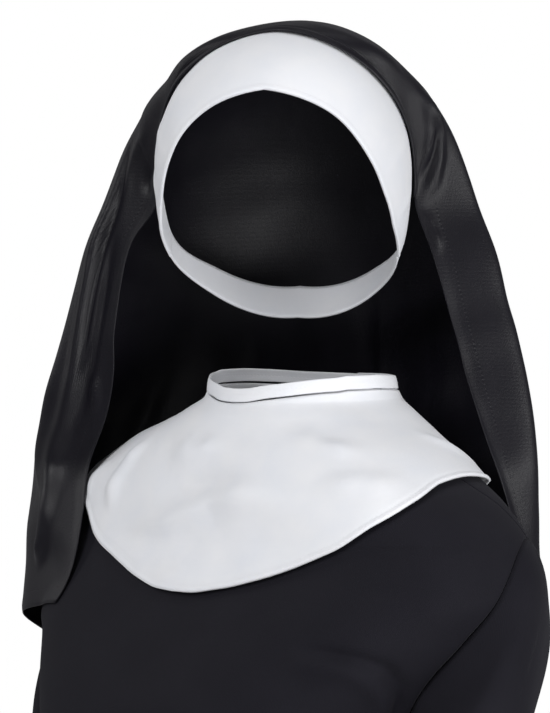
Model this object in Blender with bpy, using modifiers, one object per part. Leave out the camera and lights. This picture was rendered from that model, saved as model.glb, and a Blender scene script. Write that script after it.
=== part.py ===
"""Nun habit, worn and hollow: a coif band on the head with a veil sewn behind it, a bib collar on a
narrow neckband, and a long tunic with set-in sleeves.

Metres, +Z up.  The wearer's front is -Y and the wearer's left is +X.  The origin is the middle of
the base of the neck, where the habit hangs.  A turn is an angle round the body in degrees, 0 at the
front and 90 at the wearer's left.  Every cloth is an open surface worked out from the tables below,
with a Solidify wall.
"""

import math
from collections import namedtuple

import bpy
from mathutils import Vector
from mathutils.bvhtree import BVHTree

# ---------------------------------------------------------------- driving dimensions

CLOTH = 0.0015  # wall of the tunic, the veil and the strap
WHITE_CLOTH = 0.0018  # wall of the band, the collar and the neckband, two layers turned
SEAM_GAP = 0.0003  # space between two pieces sewn edge to edge
LAY_GAP = 0.0026  # space under the collar, which spans the tunic's hollows
DRAPE_GAP = 0.0012  # space under the veil where it rests on the back of the shoulders
COLLAR_DRAPE_GAP = 0.0024  # space between the veil and the collar's edge
FRONT_DRAPE_GAP = 0.0017  # space under the veil's corner that lies on the chest
ARMHOLE_GAP = 0.0006  # space between a sleeve and the armhole, whose edge turns in the seam
SLEEVE_GAP = 0.0009  # space between the veil and the sleeve it hangs against

# Form of the body under the tunic, a row for each height.  Depths run from the centre line.
Girth = namedtuple("Girth", "height half_width front back centre squareness")
BODY = (
    Girth(0.0300, 0.0550, 0.0560, 0.0540, 0.000, 2.00),
    Girth(0.0120, 0.0565, 0.0570, 0.0560, 0.000, 2.00),
    Girth(0.0000, 0.0610, 0.0600, 0.0600, 0.000, 2.00),
    Girth(-0.0100, 0.0790, 0.0650, 0.0640, -0.002, 2.05),
    Girth(-0.0200, 0.1010, 0.0670, 0.0670, -0.005, 2.20),
    Girth(-0.0300, 0.1240, 0.0690, 0.0700, -0.009, 2.35),
    Girth(-0.0430, 0.1480, 0.0710, 0.0740, -0.012, 2.50),
    Girth(-0.0600, 0.1740, 0.0750, 0.0800, -0.014, 2.60),
    Girth(-0.0830, 0.1940, 0.0790, 0.0880, -0.015, 2.60),
    Girth(-0.1100, 0.2010, 0.0930, 0.0930, -0.015, 2.65),
    Girth(-0.1350, 0.1910, 0.1090, 0.0960, -0.015, 2.70),
    Girth(-0.1600, 0.1720, 0.1250, 0.0990, -0.015, 2.75),
    Girth(-0.1850, 0.1550, 0.1390, 0.1010, -0.014, 2.80),
    Girth(-0.2150, 0.1450, 0.1460, 0.1020, -0.013, 2.75),
    Girth(-0.2500, 0.1400, 0.1470, 0.1010, -0.012, 2.65),
    Girth(-0.3000, 0.1370, 0.1400, 0.0970, -0.010, 2.50),
    Girth(-0.4000, 0.1400, 0.1280, 0.1000, -0.004, 2.30),
    Girth(-0.5500, 0.1640, 0.1380, 0.1230, 0.000, 2.15),
    Girth(-0.7000, 0.1920, 0.1560, 0.1450, 0.000, 2.10),
    Girth(-1.0000, 0.2360, 0.1920, 0.1860, 0.000, 2.05),
    Girth(-1.3000, 0.2750, 0.2280, 0.2260, 0.000, 2.00),
)

# Tunic
HEM_HEIGHT = -1.300
NECKLINE_FRONT = -0.052
NECKLINE_SIDE = -0.022
NECKLINE_BACK = -0.034
ARMHOLE_TOP = -0.077
ARMHOLE_BOTTOM = -0.215
ARMHOLE_FRONT_TURN = 13.5  # how far the armhole reaches forward of the side seam, in degrees
ARMHOLE_BACK_TURN = 13.0
ARMHOLE_REACH = 0.17  # distance of the armhole from the body's middle
ARMHOLE_SQUARENESS = 0.85  # below 1 the armhole is fuller than an oval
PANEL_COLUMNS = 18
COLUMN_CROWDING = 0.6  # share by which the columns crowd towards the side edges
NECK_EASE_ROWS = 3  # rows below the yoke over which the neck's curve levels out
SKIRT_ROW_GROWTH = 1.5  # the rows grow longer towards the hem

# Line of the shoulder seam, the armhole's middle and the side seam
SeamSpot = namedtuple("SeamSpot", "height turn")
SIDE_SEAM = (
    SeamSpot(-0.022, 90.0),
    SeamSpot(-0.077, 103.0),
    SeamSpot(-0.215, 87.0),
    SeamSpot(-0.450, 90.0),
    SeamSpot(-1.300, 90.0),
)
YOKE_ROWS = 6
ARMHOLE_ROWS = 8
SKIRT_ROWS = 9

FLUTE_GROWTH = 0.8  # below 1 a flute opens sooner

# Flutes of the skirt, with their middle turn, half width in degrees and rise at the hem, and the
# height where each one begins.
Flute = namedtuple("Flute", "turn half_width rise begins")
FLUTES = (
    Flute(-72.0, 11.0, 0.018, -0.34),
    Flute(-44.0, 12.0, 0.022, -0.30),
    Flute(-14.0, 12.0, 0.017, -0.42),
    Flute(17.0, 13.0, 0.022, -0.34),
    Flute(47.0, 11.0, 0.019, -0.30),
    Flute(74.0, 11.0, 0.016, -0.38),
    Flute(108.0, 12.0, 0.018, -0.32),
    Flute(138.0, 12.0, 0.022, -0.36),
    Flute(169.0, 13.0, 0.019, -0.30),
    Flute(-160.0, 12.0, 0.022, -0.38),
    Flute(-131.0, 12.0, 0.018, -0.32),
    Flute(-103.0, 11.0, 0.016, -0.40),
)

# Sleeve, a row for each ring below the armhole, for the wearer's left arm.  The outer side of a
# ring stands higher than the inner side by the rise.
ArmRing = namedtuple("ArmRing", "out forward height radius rise")
ARM = (
    ArmRing(0.1830, 0.036, -0.238, 0.0400, 0.018),
    ArmRing(0.1850, 0.037, -0.290, 0.0405, 0.008),
    ArmRing(0.1910, 0.037, -0.340, 0.0400, 0.003),
    ArmRing(0.1970, 0.039, -0.385, 0.0400, 0.000),
    ArmRing(0.2080, 0.051, -0.450, 0.0390, 0.000),
    ArmRing(0.2230, 0.072, -0.530, 0.0380, 0.000),
    ArmRing(0.2390, 0.099, -0.630, 0.0370, 0.000),
)
SLEEVE_CAP_ROWS = 5
CAP_LEAVE = 0.33  # length of the cap's curve handle at the armhole, as a share of its reach
CAP_ARRIVE = 0.36
CAP_OUT = 0.55  # slope with which the cap leaves the armhole
CAP_DOWN = 0.45
CAP_UNDERARM_DOWN = 0.6

# Head form under the band.  The head is turned to the wearer's left.
HEAD_TURN = 42.0
HEAD_CENTRE = Vector((-0.0067, -0.0104, 0.149))
HEAD_HALF_WIDTH = 0.081
HEAD_FRONT = 0.105
HEAD_BACK = 0.100
HEAD_UP = 0.091
HEAD_DOWN = 0.130
BAND_TILT = 45.7  # slope of the band's middle line above the brow, in degrees

# Band edges on the head form, a row for each place round the band from the brow.
BandEdge = namedtuple("BandEdge", "round front rear")
BAND = (
    BandEdge(0.0, -18.0, 18.0),
    BandEdge(27.0, -22.0, 14.5),
    BandEdge(54.0, -29.5, 12.0),
    BandEdge(73.0, -33.0, 8.0),
    BandEdge(90.0, -33.5, 0.5),
    BandEdge(105.0, -30.5, -6.5),
    BandEdge(118.0, -26.0, -12.0),
    BandEdge(150.0, -14.0, -2.0),
    BandEdge(180.0, -10.0, 2.0),
)
BAND_END = 118.0
UNDER_VEIL_ENDS = 97.0  # where the band's hidden margin has faded out, in degrees
UNDER_VEIL_FADE = 20.0
BAND_COLUMNS = 26
STRAP_COLUMNS = 14

# Collar and neckband
COLLAR_TURN = 5.0  # the collar sits turned a little towards the wearer's left
NECKBAND_HEIGHT = 0.0085
COLLAR_LEAN = 0.0014  # the collar's wall leans up by this much at its inner edge
CollarEdge = namedtuple("CollarEdge", "turn seam hem")
COLLAR = (
    CollarEdge(0.0, 0.000, -0.1165),
    CollarEdge(9.0, 0.0005, -0.1160),
    CollarEdge(22.0, 0.003, -0.1120),
    CollarEdge(36.0, 0.005, -0.1050),
    CollarEdge(47.0, 0.0065, -0.0960),
    CollarEdge(57.0, 0.0075, -0.0830),
    CollarEdge(65.0, 0.008, -0.0670),
    CollarEdge(73.0, 0.009, -0.0545),
    CollarEdge(82.0, 0.009, -0.0455),
    CollarEdge(92.0, 0.009, -0.0430),
    CollarEdge(112.0, 0.008, -0.0510),
    CollarEdge(140.0, 0.006, -0.078),
    CollarEdge(180.0, 0.005, -0.086),
)
COLLAR_COLUMNS = 52
COLLAR_ROWS = 5
CLOSURE_LAP = 9.0  # degrees by which the collar's ends lap at the back
LAP_SLOPE = 34.0  # degrees over which the upper end rises over the under one

# Veil below the ears, a row for each level.  The free edges lie in front of the wearer's right
# shoulder and behind the left one.
VeilRow = namedtuple(
    "VeilRow",
    "height half_width front back centre_x centre_y yaw squareness left_x left_y right_x right_y",
)
VEIL = (
    VeilRow(0.1305, 0.124, 0.113, 0.1235, -0.008, -0.008, 42.0, 2.0, 0.050, 0.0515, -0.074, -0.0605),
    VeilRow(0.095, 0.1385, 0.131, 0.1285, -0.011, -0.008, 38.0, 2.0, 0.062, 0.056, -0.091, -0.072),
    VeilRow(0.050, 0.1495, 0.137, 0.131, -0.014, -0.005, 28.0, 2.0, 0.076, 0.060, -0.097, -0.078),
    VeilRow(0.000, 0.1705, 0.133, 0.132, -0.021, 0.002, 14.0, 2.0, 0.093, 0.064, -0.102, -0.077),
    VeilRow(-0.049, 0.190, 0.120, 0.131, -0.030, 0.003, 4.0, 2.2, 0.112, 0.068, -0.127, -0.079),
    VeilRow(-0.098, 0.200, 0.115, 0.134, -0.035, 0.005, 0.0, 2.3, 0.118, 0.080, -0.107, -0.1015),
    VeilRow(-0.150, 0.204, 0.122, 0.135, -0.036, 0.006, 0.0, 2.3, 0.120, 0.085, -0.115, -0.1125),
    VeilRow(-0.240, 0.206, 0.122, 0.138, -0.037, 0.008, 0.0, 2.3, 0.120, 0.092, -0.115, -0.1155),
)
CROWN = Vector((0.0005, -0.0035, 0.2435))
DOME_ROUNDNESS = 1.8
BROW_FULLNESS = 2.05

# Dome of the veil: its half width at a height, as shares of its width at the ears and its rise.
DomeStep = namedtuple("DomeStep", "height out")
DOME = (
    DomeStep(1.000, 0.000),
    DomeStep(0.985, 0.150),
    DomeStep(0.950, 0.272),
    DomeStep(0.876, 0.410),
    DomeStep(0.790, 0.518),
    DomeStep(0.700, 0.612),
    DomeStep(0.533, 0.762),
    DomeStep(0.361, 0.867),
    DomeStep(0.190, 0.941),
    DomeStep(0.000, 1.000),
)
VEIL_SEAM_LIFT = 0.0009  # space between the band and the veil's edge that lies on it
VEIL_SEAM_END = 103.0  # how far round the band the veil is sewn, in degrees
VEIL_OVER_BAND = 4.0  # degrees of the band that lie under the veil
VEIL_RISE_FROM_SEAM = 0.034  # length over which the veil leaves the band
CROWN_ARC = 1.12  # length of the dome's curve over that of its chord
BROW_SPREAD = 1.3  # how far round from the brow the fuller dome reaches
BROW_SHIFT = 0.2
FOLD_LEAD = 0.15  # a fold starts this much above its level
FOLD_GROWTH = 0.6
DEEPEST_SINK = 0.06  # the veil is lifted from no deeper than this
EDGE_TUCK_TURN = 9.5  # degrees over which a free edge turns in
HEM_LEFT = -0.180
HEM_BACK = -0.235
HEM_RIGHT = -0.136
VEIL_COLUMNS = 32
VEIL_SEAM_COLUMNS = 20
CROWN_ROWS = 6
FALL_ROWS = 9

# Main folds of the veil: place across it at the ears and at the hem, 0 at the left free edge and
# 1 at the right one, with their half width across, their rise and the level where they begin.
Fold = namedtuple("Fold", "at_ears at_hem half_width rise begins")
VEIL_FOLDS = (
    Fold(0.86, 0.89, 0.040, 0.004, 0.20),
    Fold(0.78, 0.80, 0.045, -0.006, 0.30),
    Fold(0.66, 0.69, 0.045, 0.010, 0.25),
    Fold(0.52, 0.50, 0.050, 0.012, 0.30),
    Fold(0.40, 0.36, 0.040, 0.009, 0.25),
    Fold(0.28, 0.25, 0.040, -0.008, 0.30),
    Fold(0.17, 0.15, 0.045, 0.004, 0.35),
)

BLACK = (0.012, 0.012, 0.015, 1.0)
WHITE = (0.86, 0.88, 0.92, 1.0)


# ---------------------------------------------------------------- tables and forms


def glide(table, key, name, at):
    """Value of one named column at a place between the rows, smooth and with no overshoot."""
    rows = sorted(table, key=lambda row: getattr(row, key))
    places = [getattr(row, key) for row in rows]
    values = [getattr(row, name) for row in rows]
    if at <= places[0]:
        return values[0]
    if at >= places[-1]:
        return values[-1]
    i = max(k for k in range(len(places) - 1) if places[k] <= at)
    slopes = [
        (values[k + 1] - values[k]) / (places[k + 1] - places[k]) for k in range(len(places) - 1)
    ]

    def bend(k):
        if k == 0 or k == len(slopes):
            return slopes[min(k, len(slopes) - 1)]
        before, after = slopes[k - 1], slopes[k]
        return 0.0 if before * after <= 0.0 else 2.0 * before * after / (before + after)

    span = places[i + 1] - places[i]
    t = (at - places[i]) / span
    return (
        values[i] * (1 + 2 * t) * (1 - t) ** 2
        + values[i + 1] * t * t * (3 - 2 * t)
        + span * (bend(i) * t * (1 - t) ** 2 - bend(i + 1) * t * t * (1 - t))
    )


def blend(start, end, t):
    return start + (end - start) * t


def ease_in(t):
    """Smooth step from 0 to 1."""
    t = min(1.0, max(0.0, t))
    return t * t * (3 - 2 * t)


def mirrored_turn(turn):
    """The same place on the wearer's left half, 0 to 180 degrees."""
    return abs((turn + 180.0) % 360.0 - 180.0)


def body_spot(turn, height):
    """Point of the body form at a turn and a height."""
    half_width = glide(BODY, "height", "half_width", height)
    centre = glide(BODY, "height", "centre", height)
    power = glide(BODY, "height", "squareness", height)
    side = math.sin(math.radians(turn))
    ahead = math.cos(math.radians(turn))
    depth = glide(BODY, "height", "front" if ahead > 0 else "back", height)
    reach = (abs(side / half_width) ** power + abs(ahead / depth) ** power) ** (-1.0 / power)
    return Vector((reach * side, centre - reach * ahead, height))


def body_point(turn, height, out=0.0):
    """Point moved out from the body form along the form's own normal."""
    step = 0.0015
    along = body_spot(turn + 0.6, height) - body_spot(turn - 0.6, height)
    down = body_spot(turn, height - step) - body_spot(turn, height + step)
    normal = down.cross(along).normalized()
    return body_spot(turn, height) + normal * out


def head_axes():
    """The head's own left, back and up directions."""
    turn = math.radians(HEAD_TURN)
    left = Vector((math.cos(turn), math.sin(turn), 0.0))
    back = Vector((-math.sin(turn), math.cos(turn), 0.0))
    return left, back, Vector((0.0, 0.0, 1.0))


def head_point(direction, out=0.0):
    """Point of the head form along a direction given in the head's own axes."""
    depth = HEAD_FRONT if direction.y < 0 else HEAD_BACK
    rise = HEAD_UP if direction.z > 0 else HEAD_DOWN
    scaled = Vector((direction.x / HEAD_HALF_WIDTH, direction.y / depth, direction.z / rise))
    spot = direction / scaled.length
    normal = Vector(
        (
            spot.x / HEAD_HALF_WIDTH**2,
            spot.y / depth**2,
            spot.z / rise**2,
        )
    ).normalized()
    spot = spot + normal * out
    left, back, up = head_axes()
    return HEAD_CENTRE + left * spot.x + back * spot.y + up * spot.z


def band_direction(round_band, slant):
    """Direction from the head's middle to a place round the band, slanted off its middle line."""
    tilt = math.radians(BAND_TILT)
    brow = Vector((0.0, -math.cos(tilt), math.sin(tilt)))
    axle = Vector((0.0, math.sin(tilt), math.cos(tilt)))
    place = math.radians(round_band)
    lean = math.radians(slant)
    flat = brow * math.cos(place) + Vector((1.0, 0.0, 0.0)) * math.sin(place)
    return flat * math.cos(lean) + axle * math.sin(lean)


# ---------------------------------------------------------------- cloth


def finish(name, colour, roughness, sheen):
    """A Principled cloth material."""
    material = bpy.data.materials.new(name)
    material.use_nodes = True
    shader = material.node_tree.nodes["Principled BSDF"]
    shader.inputs["Base Color"].default_value = colour
    shader.inputs["Roughness"].default_value = roughness
    shader.inputs["Metallic"].default_value = 0.0
    shader.inputs["Sheen Weight"].default_value = sheen
    return material


def lay_cloth(name, rows, wall, outward, material, collection, around=False):
    """Cloth through rows of points: an open surface, seen from outside with the rows running
    down and the turn growing, and a Solidify wall on its outer or its inner side."""
    columns = len(rows[0])
    points = [point for row in rows for point in row]
    faces = []
    for i in range(len(rows) - 1):
        for j in range(columns if around else columns - 1):
            k = (j + 1) % columns
            upper = i * columns
            lower = upper + columns
            faces.append((upper + j, lower + j, lower + k, upper + k))
    return make_cloth(name, points, faces, wall, outward, material, collection)


def make_cloth(name, points, faces, wall, outward, material, collection):
    """Object of an open surface with its Solidify wall."""
    mesh = bpy.data.meshes.new(name)
    mesh.from_pydata([tuple(point) for point in points], [], faces)
    mesh.update()
    mesh.materials.append(material)
    mesh.shade_smooth()
    cloth = bpy.data.objects.new(name, mesh)
    collection.objects.link(cloth)
    solid = cloth.modifiers.new("Wall", "SOLIDIFY")
    solid.thickness = wall
    solid.offset = 1.0 if outward else -1.0
    return cloth


# ---------------------------------------------------------------- tunic


def neckline(turn):
    """Height of the tunic's neck edge at a turn."""
    ahead = math.cos(math.radians(turn))
    low = NECKLINE_FRONT if ahead > 0 else NECKLINE_BACK
    return blend(NECKLINE_SIDE, low, ahead * ahead)


def armhole_spot(place, ease=0.0):
    """Turn and height of the armhole edge.  The place runs from 0 at the shoulder tip through 90
    at the front to 180 under the arm, and to 270 at the back."""
    middle = (ARMHOLE_TOP + ARMHOLE_BOTTOM) / 2
    half = (ARMHOLE_TOP - ARMHOLE_BOTTOM) / 2 - ease
    reach = math.sin(math.radians(place))
    ease_turn = math.degrees(ease / ARMHOLE_REACH)
    width = ARMHOLE_FRONT_TURN if reach > 0 else ARMHOLE_BACK_TURN
    full = abs(reach) ** ARMHOLE_SQUARENESS
    height = middle + half * math.cos(math.radians(place))
    turn = glide(SIDE_SEAM, "height", "turn", height)
    return turn - math.copysign(full, reach) * (width - ease_turn), height


def flute_rise(turn, height):
    """How far the skirt's flutes stand out at a turn and a height."""
    rise = 0.0
    for flute in FLUTES:
        grown = max(0.0, (flute.begins - height) / (flute.begins - HEM_HEIGHT)) ** FLUTE_GROWTH
        away = (turn - flute.turn + 180.0) % 360.0 - 180.0
        rise += flute.rise * grown * math.exp(-((away / flute.half_width) ** 2))
    return rise


def panel_heights():
    """Heights of a panel's rows at its side edge, from the shoulder seam down to the hem."""
    heights = []
    for i in range(YOKE_ROWS):
        heights.append(blend(NECKLINE_SIDE, ARMHOLE_TOP, i / YOKE_ROWS))
    for i in range(ARMHOLE_ROWS + 1):
        heights.append(armhole_spot(180.0 * i / ARMHOLE_ROWS)[1])
    for i in range(1, SKIRT_ROWS + 1):
        heights.append(blend(ARMHOLE_BOTTOM, HEM_HEIGHT, (i / SKIRT_ROWS) ** SKIRT_ROW_GROWTH))
    return heights


def side_turn(height, front):
    """Turn of a panel's side edge at a height: the armhole, or else the seam."""
    half = (ARMHOLE_TOP - ARMHOLE_BOTTOM) / 2
    level = (height - (ARMHOLE_TOP + ARMHOLE_BOTTOM) / 2) / half
    middle = glide(SIDE_SEAM, "height", "turn", height)
    seam = math.degrees(SEAM_GAP / glide(BODY, "height", "half_width", height))
    if abs(level) >= 1.0:
        return middle - seam if front else middle + seam
    place = math.degrees(math.acos(level))
    turn = armhole_spot(place if front else 360.0 - place)[0]
    return min(turn, middle - seam) if front else max(turn, middle + seam)


def crowd_to_edges(across):
    """Place across a panel, -1 to 1, with the columns closer where the body turns at its sides."""
    return blend(across, math.sin(math.pi / 2 * across), COLUMN_CROWDING)


def tunic_panel(name, front, material, collection):
    """Front or back of the tunic, one piece from shoulder to hem."""
    heights = panel_heights()
    rows = []
    for i, side_height in enumerate(heights):
        edge = side_turn(side_height, front)
        row = []
        for j in range(PANEL_COLUMNS + 1):
            across = crowd_to_edges(1.0 - 2.0 * j / PANEL_COLUMNS)
            turn = -edge * across if front else 180.0 + (180.0 - edge) * -across
            drop = max(0.0, 1.0 - i / (YOKE_ROWS + NECK_EASE_ROWS))
            neck = neckline(turn) - NECKLINE_SIDE
            height = side_height + neck * drop
            spot = body_point(turn, height)
            away = Vector((math.sin(math.radians(turn)), -math.cos(math.radians(turn)), 0.0))
            row.append(spot + away * flute_rise(turn, height))
        rows.append(row)
    return lay_cloth(name, rows, CLOTH, False, material, collection)


def sleeve(name, side, material, collection):
    """Set-in sleeve: a cap curved out of the armhole, then rings down the arm to a plain cuff."""
    places = [180.0 * i / ARMHOLE_ROWS for i in range(2 * ARMHOLE_ROWS)]
    hole = []
    for place in places:
        turn, height = armhole_spot(place, ARMHOLE_GAP)
        hole.append(body_point(turn, height))
    rings = []
    for ring in ARM:
        middle = Vector((ring.out, -ring.forward, ring.height))
        points = []
        for place in places:
            lift = math.cos(math.radians(place))
            reach = math.sin(math.radians(place))
            points.append(
                middle + Vector((ring.radius * lift, -ring.radius * reach, ring.rise * lift))
            )
        rings.append(points)
    rows = [hole]
    for i in range(1, SLEEVE_CAP_ROWS):
        t = i / SLEEVE_CAP_ROWS
        row = []
        for place, start, end, after in zip(places, hole, rings[0], rings[1]):
            under = 0.5 - 0.5 * math.cos(math.radians(place))
            out = Vector((CAP_OUT, 0.0, -CAP_DOWN - CAP_UNDERARM_DOWN * under))
            reach = (end - start).length
            leave = start + out.normalized() * reach * CAP_LEAVE
            arrive = end + (end - after).normalized() * reach * CAP_ARRIVE
            row.append(
                start * (1 - t) ** 3
                + leave * 3 * t * (1 - t) ** 2
                + arrive * 3 * t * t * (1 - t)
                + end * t**3
            )
        rows.append(row)
    rows.extend(rings)
    if side < 0:
        rows = [[Vector((-p.x, p.y, p.z)) for p in reversed(row)] for row in rows]
    rows = [list(reversed(row)) for row in rows]
    return lay_cloth(name, rows, CLOTH, False, material, collection, around=True)


# ---------------------------------------------------------------- collar


def collar_value(name, turn):
    return glide(COLLAR, "turn", name, mirrored_turn(turn - COLLAR_TURN))


def lap_lift(turn):
    """How far the collar's upper end rises over its under end at the back closure."""
    start = COLLAR_TURN + 180.0 - CLOSURE_LAP - LAP_SLOPE
    return (WHITE_CLOTH + LAY_GAP) * ease_in((turn - start) / LAP_SLOPE)


def collar(material, collection):
    """Bib collar, one flat ring of cloth round the neck whose ends lap at the back."""
    first = COLLAR_TURN - 180.0 - CLOSURE_LAP
    last = COLLAR_TURN + 180.0 + CLOSURE_LAP
    rows = []
    for i in range(COLLAR_ROWS + 1):
        row = []
        for j in range(COLLAR_COLUMNS + 1):
            turn = blend(first, last, j / COLLAR_COLUMNS)
            top = collar_value("seam", turn) - SEAM_GAP - COLLAR_LEAN
            height = blend(top, collar_value("hem", turn), i / COLLAR_ROWS)
            row.append(body_point(turn, height, LAY_GAP + lap_lift(turn)))
        rows.append(row)
    return lay_cloth("bib_collar", rows, WHITE_CLOTH, True, material, collection)


def neckband(material, collection):
    """Narrow standing band sewn to the collar's inner edge, lapped as the collar is."""
    first = COLLAR_TURN - 180.0 - CLOSURE_LAP
    last = COLLAR_TURN + 180.0 + CLOSURE_LAP
    rows = []
    for rise in (1.0, 0.0):
        row = []
        for j in range(COLLAR_COLUMNS + 1):
            turn = blend(first, last, j / COLLAR_COLUMNS)
            height = collar_value("seam", turn) + NECKBAND_HEIGHT * rise
            row.append(body_point(turn, height, LAY_GAP + lap_lift(turn)))
        rows.append(row)
    return lay_cloth("neckband", rows, WHITE_CLOTH, True, material, collection)


# ---------------------------------------------------------------- band and strap


def band_value(name, round_band):
    return glide(BAND, "round", name, mirrored_turn(round_band))


def head_strip(name, first, last, columns, rows_across, wall, material, collection):
    """Strip of cloth on the head form between the band's two edge lines."""
    rows = []
    for i in range(rows_across + 1):
        row = []
        for j in range(columns + 1):
            place = blend(first, last, j / columns)
            hidden = VEIL_OVER_BAND * ease_in((UNDER_VEIL_ENDS - abs(place)) / UNDER_VEIL_FADE)
            rear = band_value("rear", place) + hidden
            slant = blend(rear, band_value("front", place), i / rows_across)
            row.append(head_point(band_direction(place, slant)))
        rows.append(row)
    return lay_cloth(name, rows, wall, True, material, collection)


# ---------------------------------------------------------------- veil


def veil_size(name, height):
    return glide(VEIL, "height", name, height)


def veil_ring(turn, height, scale=1.0):
    """Point of the veil's plain section at a turn about its own centre."""
    yaw = math.radians(veil_size("yaw", height))
    power = veil_size("squareness", height)
    side = math.sin(math.radians(turn) - yaw)
    ahead = math.cos(math.radians(turn) - yaw)
    depth = veil_size("front" if ahead > 0 else "back", height)
    reach = (
        abs(side / veil_size("half_width", height)) ** power + abs(ahead / depth) ** power
    ) ** (-1.0 / power)
    centre = Vector((veil_size("centre_x", height), veil_size("centre_y", height), height))
    turn = math.radians(turn)
    return centre + Vector((math.sin(turn), -math.cos(turn), 0.0)) * reach * scale


def free_edge(side, height):
    """Point of the veil's free edge on one side at a height."""
    return Vector((veil_size(side + "_x", height), veil_size(side + "_y", height), height))


def turn_about_centre(point, height):
    """Turn of a point about the veil's centre at a height, 0 to 360 degrees."""
    away = point - Vector((veil_size("centre_x", height), veil_size("centre_y", height), 0.0))
    return math.degrees(math.atan2(away.x, -away.y)) % 360.0


def veil_spot(across, height):
    """Point of the falling part: 0 at the left free edge, 1 at the right one."""
    left = free_edge("left", height)
    right = free_edge("right", height)
    left_turn = turn_about_centre(left, height)
    right_turn = turn_about_centre(right, height)
    turn = blend(left_turn, right_turn, across)
    spot = veil_ring(turn, height)
    for edge, edge_turn in ((left, left_turn), (right, right_turn)):
        near = 1.0 - ease_in(abs(turn - edge_turn) / EDGE_TUCK_TURN)
        way = math.radians(edge_turn)
        outward = Vector((math.sin(way), -math.cos(way), 0.0))
        pull = (veil_ring(edge_turn, height) - edge).dot(outward)
        inward = Vector((-math.sin(math.radians(turn)), math.cos(math.radians(turn)), 0.0))
        spot = spot + inward * pull * near
    return spot


def fold_rise(across, level):
    """How far the folds lift the veil at a place across and a level, 0 at the ears, 1 at the hem."""
    rise = 0.0
    for fold in VEIL_FOLDS:
        middle = blend(fold.at_ears, fold.at_hem, level)
        grown = ease_in((level - fold.begins + FOLD_LEAD) / FOLD_GROWTH)
        rise += fold.rise * grown * math.exp(-(((across - middle) / fold.half_width) ** 2))
    return rise


def hem_height(across):
    if across < 0.5:
        return blend(HEM_LEFT, HEM_BACK, ease_in(across / 0.5))
    return blend(HEM_BACK, HEM_RIGHT, ease_in((across - 0.5) / 0.5))


def dome_out(height, brow):
    """Half width of the dome at a share of its rise: 1 in brow is the fuller part over the brow."""
    full = (1.0 - height**BROW_FULLNESS) ** (1.0 / BROW_FULLNESS)
    return blend(glide(DOME, "height", "out", height), full, brow)


def crown_point(foot, brow, t):
    """Point of the dome on the way from the crown to a foot."""
    level = VEIL[0].height
    high = CROWN.z - level
    climb = min(max((foot.z - level) / high, 0.0), 0.999)
    angle = math.acos(climb ** (DOME_ROUNDNESS / 2)) * t
    height = math.cos(angle) ** (2 / DOME_ROUNDNESS)
    share = dome_out(height, brow) / dome_out(climb, brow)
    return Vector(
        (blend(CROWN.x, foot.x, share), blend(CROWN.y, foot.y, share), level + high * height)
    )


def veil_rows():
    """Rows of the crown, which run all round, and rows of the fall, which stop at the free edges."""
    ear_level = VEIL[0].height
    feet = []
    for j in range(VEIL_COLUMNS + 1):
        across = j / VEIL_COLUMNS
        turn = blend(
            turn_about_centre(free_edge("left", ear_level), ear_level),
            turn_about_centre(free_edge("right", ear_level), ear_level),
            across,
        )
        feet.append((veil_ring(turn, ear_level), veil_spot(across, ear_level), 0.0))
    for j in range(1, VEIL_SEAM_COLUMNS):
        place = blend(-VEIL_SEAM_END, VEIL_SEAM_END, j / VEIL_SEAM_COLUMNS)
        slant = band_value("rear", place)
        seam = head_point(band_direction(place, slant), WHITE_CLOTH + VEIL_SEAM_LIFT)
        turn = turn_about_centre(seam, ear_level)
        high = (seam.z - ear_level) / (CROWN.z - ear_level)
        front = 1.0 - abs(place) / VEIL_SEAM_END
        brow = ease_in(front * BROW_SPREAD - BROW_SHIFT)
        plain = veil_ring(turn, ear_level, dome_out(max(0.0, high), brow))
        plain.z = seam.z
        feet.append((plain, seam, brow))
    crown = []
    for i in range(1, CROWN_ROWS + 1):
        row = []
        for plain, foot, brow in feet:
            t = i / CROWN_ROWS
            length = (plain - CROWN).length * CROWN_ARC
            drawn = ease_in(1.0 - (1.0 - t) * length / VEIL_RISE_FROM_SEAM)
            row.append(crown_point(plain, brow, t) + (foot - plain) * drawn)
        crown.append(row)
    fall = []
    for i in range(1, FALL_ROWS + 1):
        level = i / FALL_ROWS
        row = []
        for j in range(VEIL_COLUMNS + 1):
            across = j / VEIL_COLUMNS
            height = blend(ear_level, hem_height(across), level)
            spot = veil_spot(across, height)
            away = Vector(
                (
                    spot.x - veil_size("centre_x", height),
                    spot.y - veil_size("centre_y", height),
                    0.0,
                )
            ).normalized()
            row.append(spot + away * fold_rise(across, level))
        fall.append(row)
    return crown, fall


def clear_of(point, under):
    """The point moved out until it stands clear of the pieces under it, each with its own gap."""
    for tree, gap in under + under:
        near, normal, _, distance = tree.find_nearest(point)
        if normal is None:
            continue
        if (point - near).dot(normal) < 0 and distance < DEEPEST_SINK:
            point = near + normal * gap
        elif distance < gap:
            point = near + (point - near).normalized() * gap
    return point


def laid_surface(name):
    """Search tree of the surface through which a piece already laid was worked out."""
    mesh = bpy.data.objects[name].data
    points = [vertex.co.copy() for vertex in mesh.vertices]
    faces = [list(face.vertices) for face in mesh.polygons]
    return BVHTree.FromPolygons(points, faces)


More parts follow.
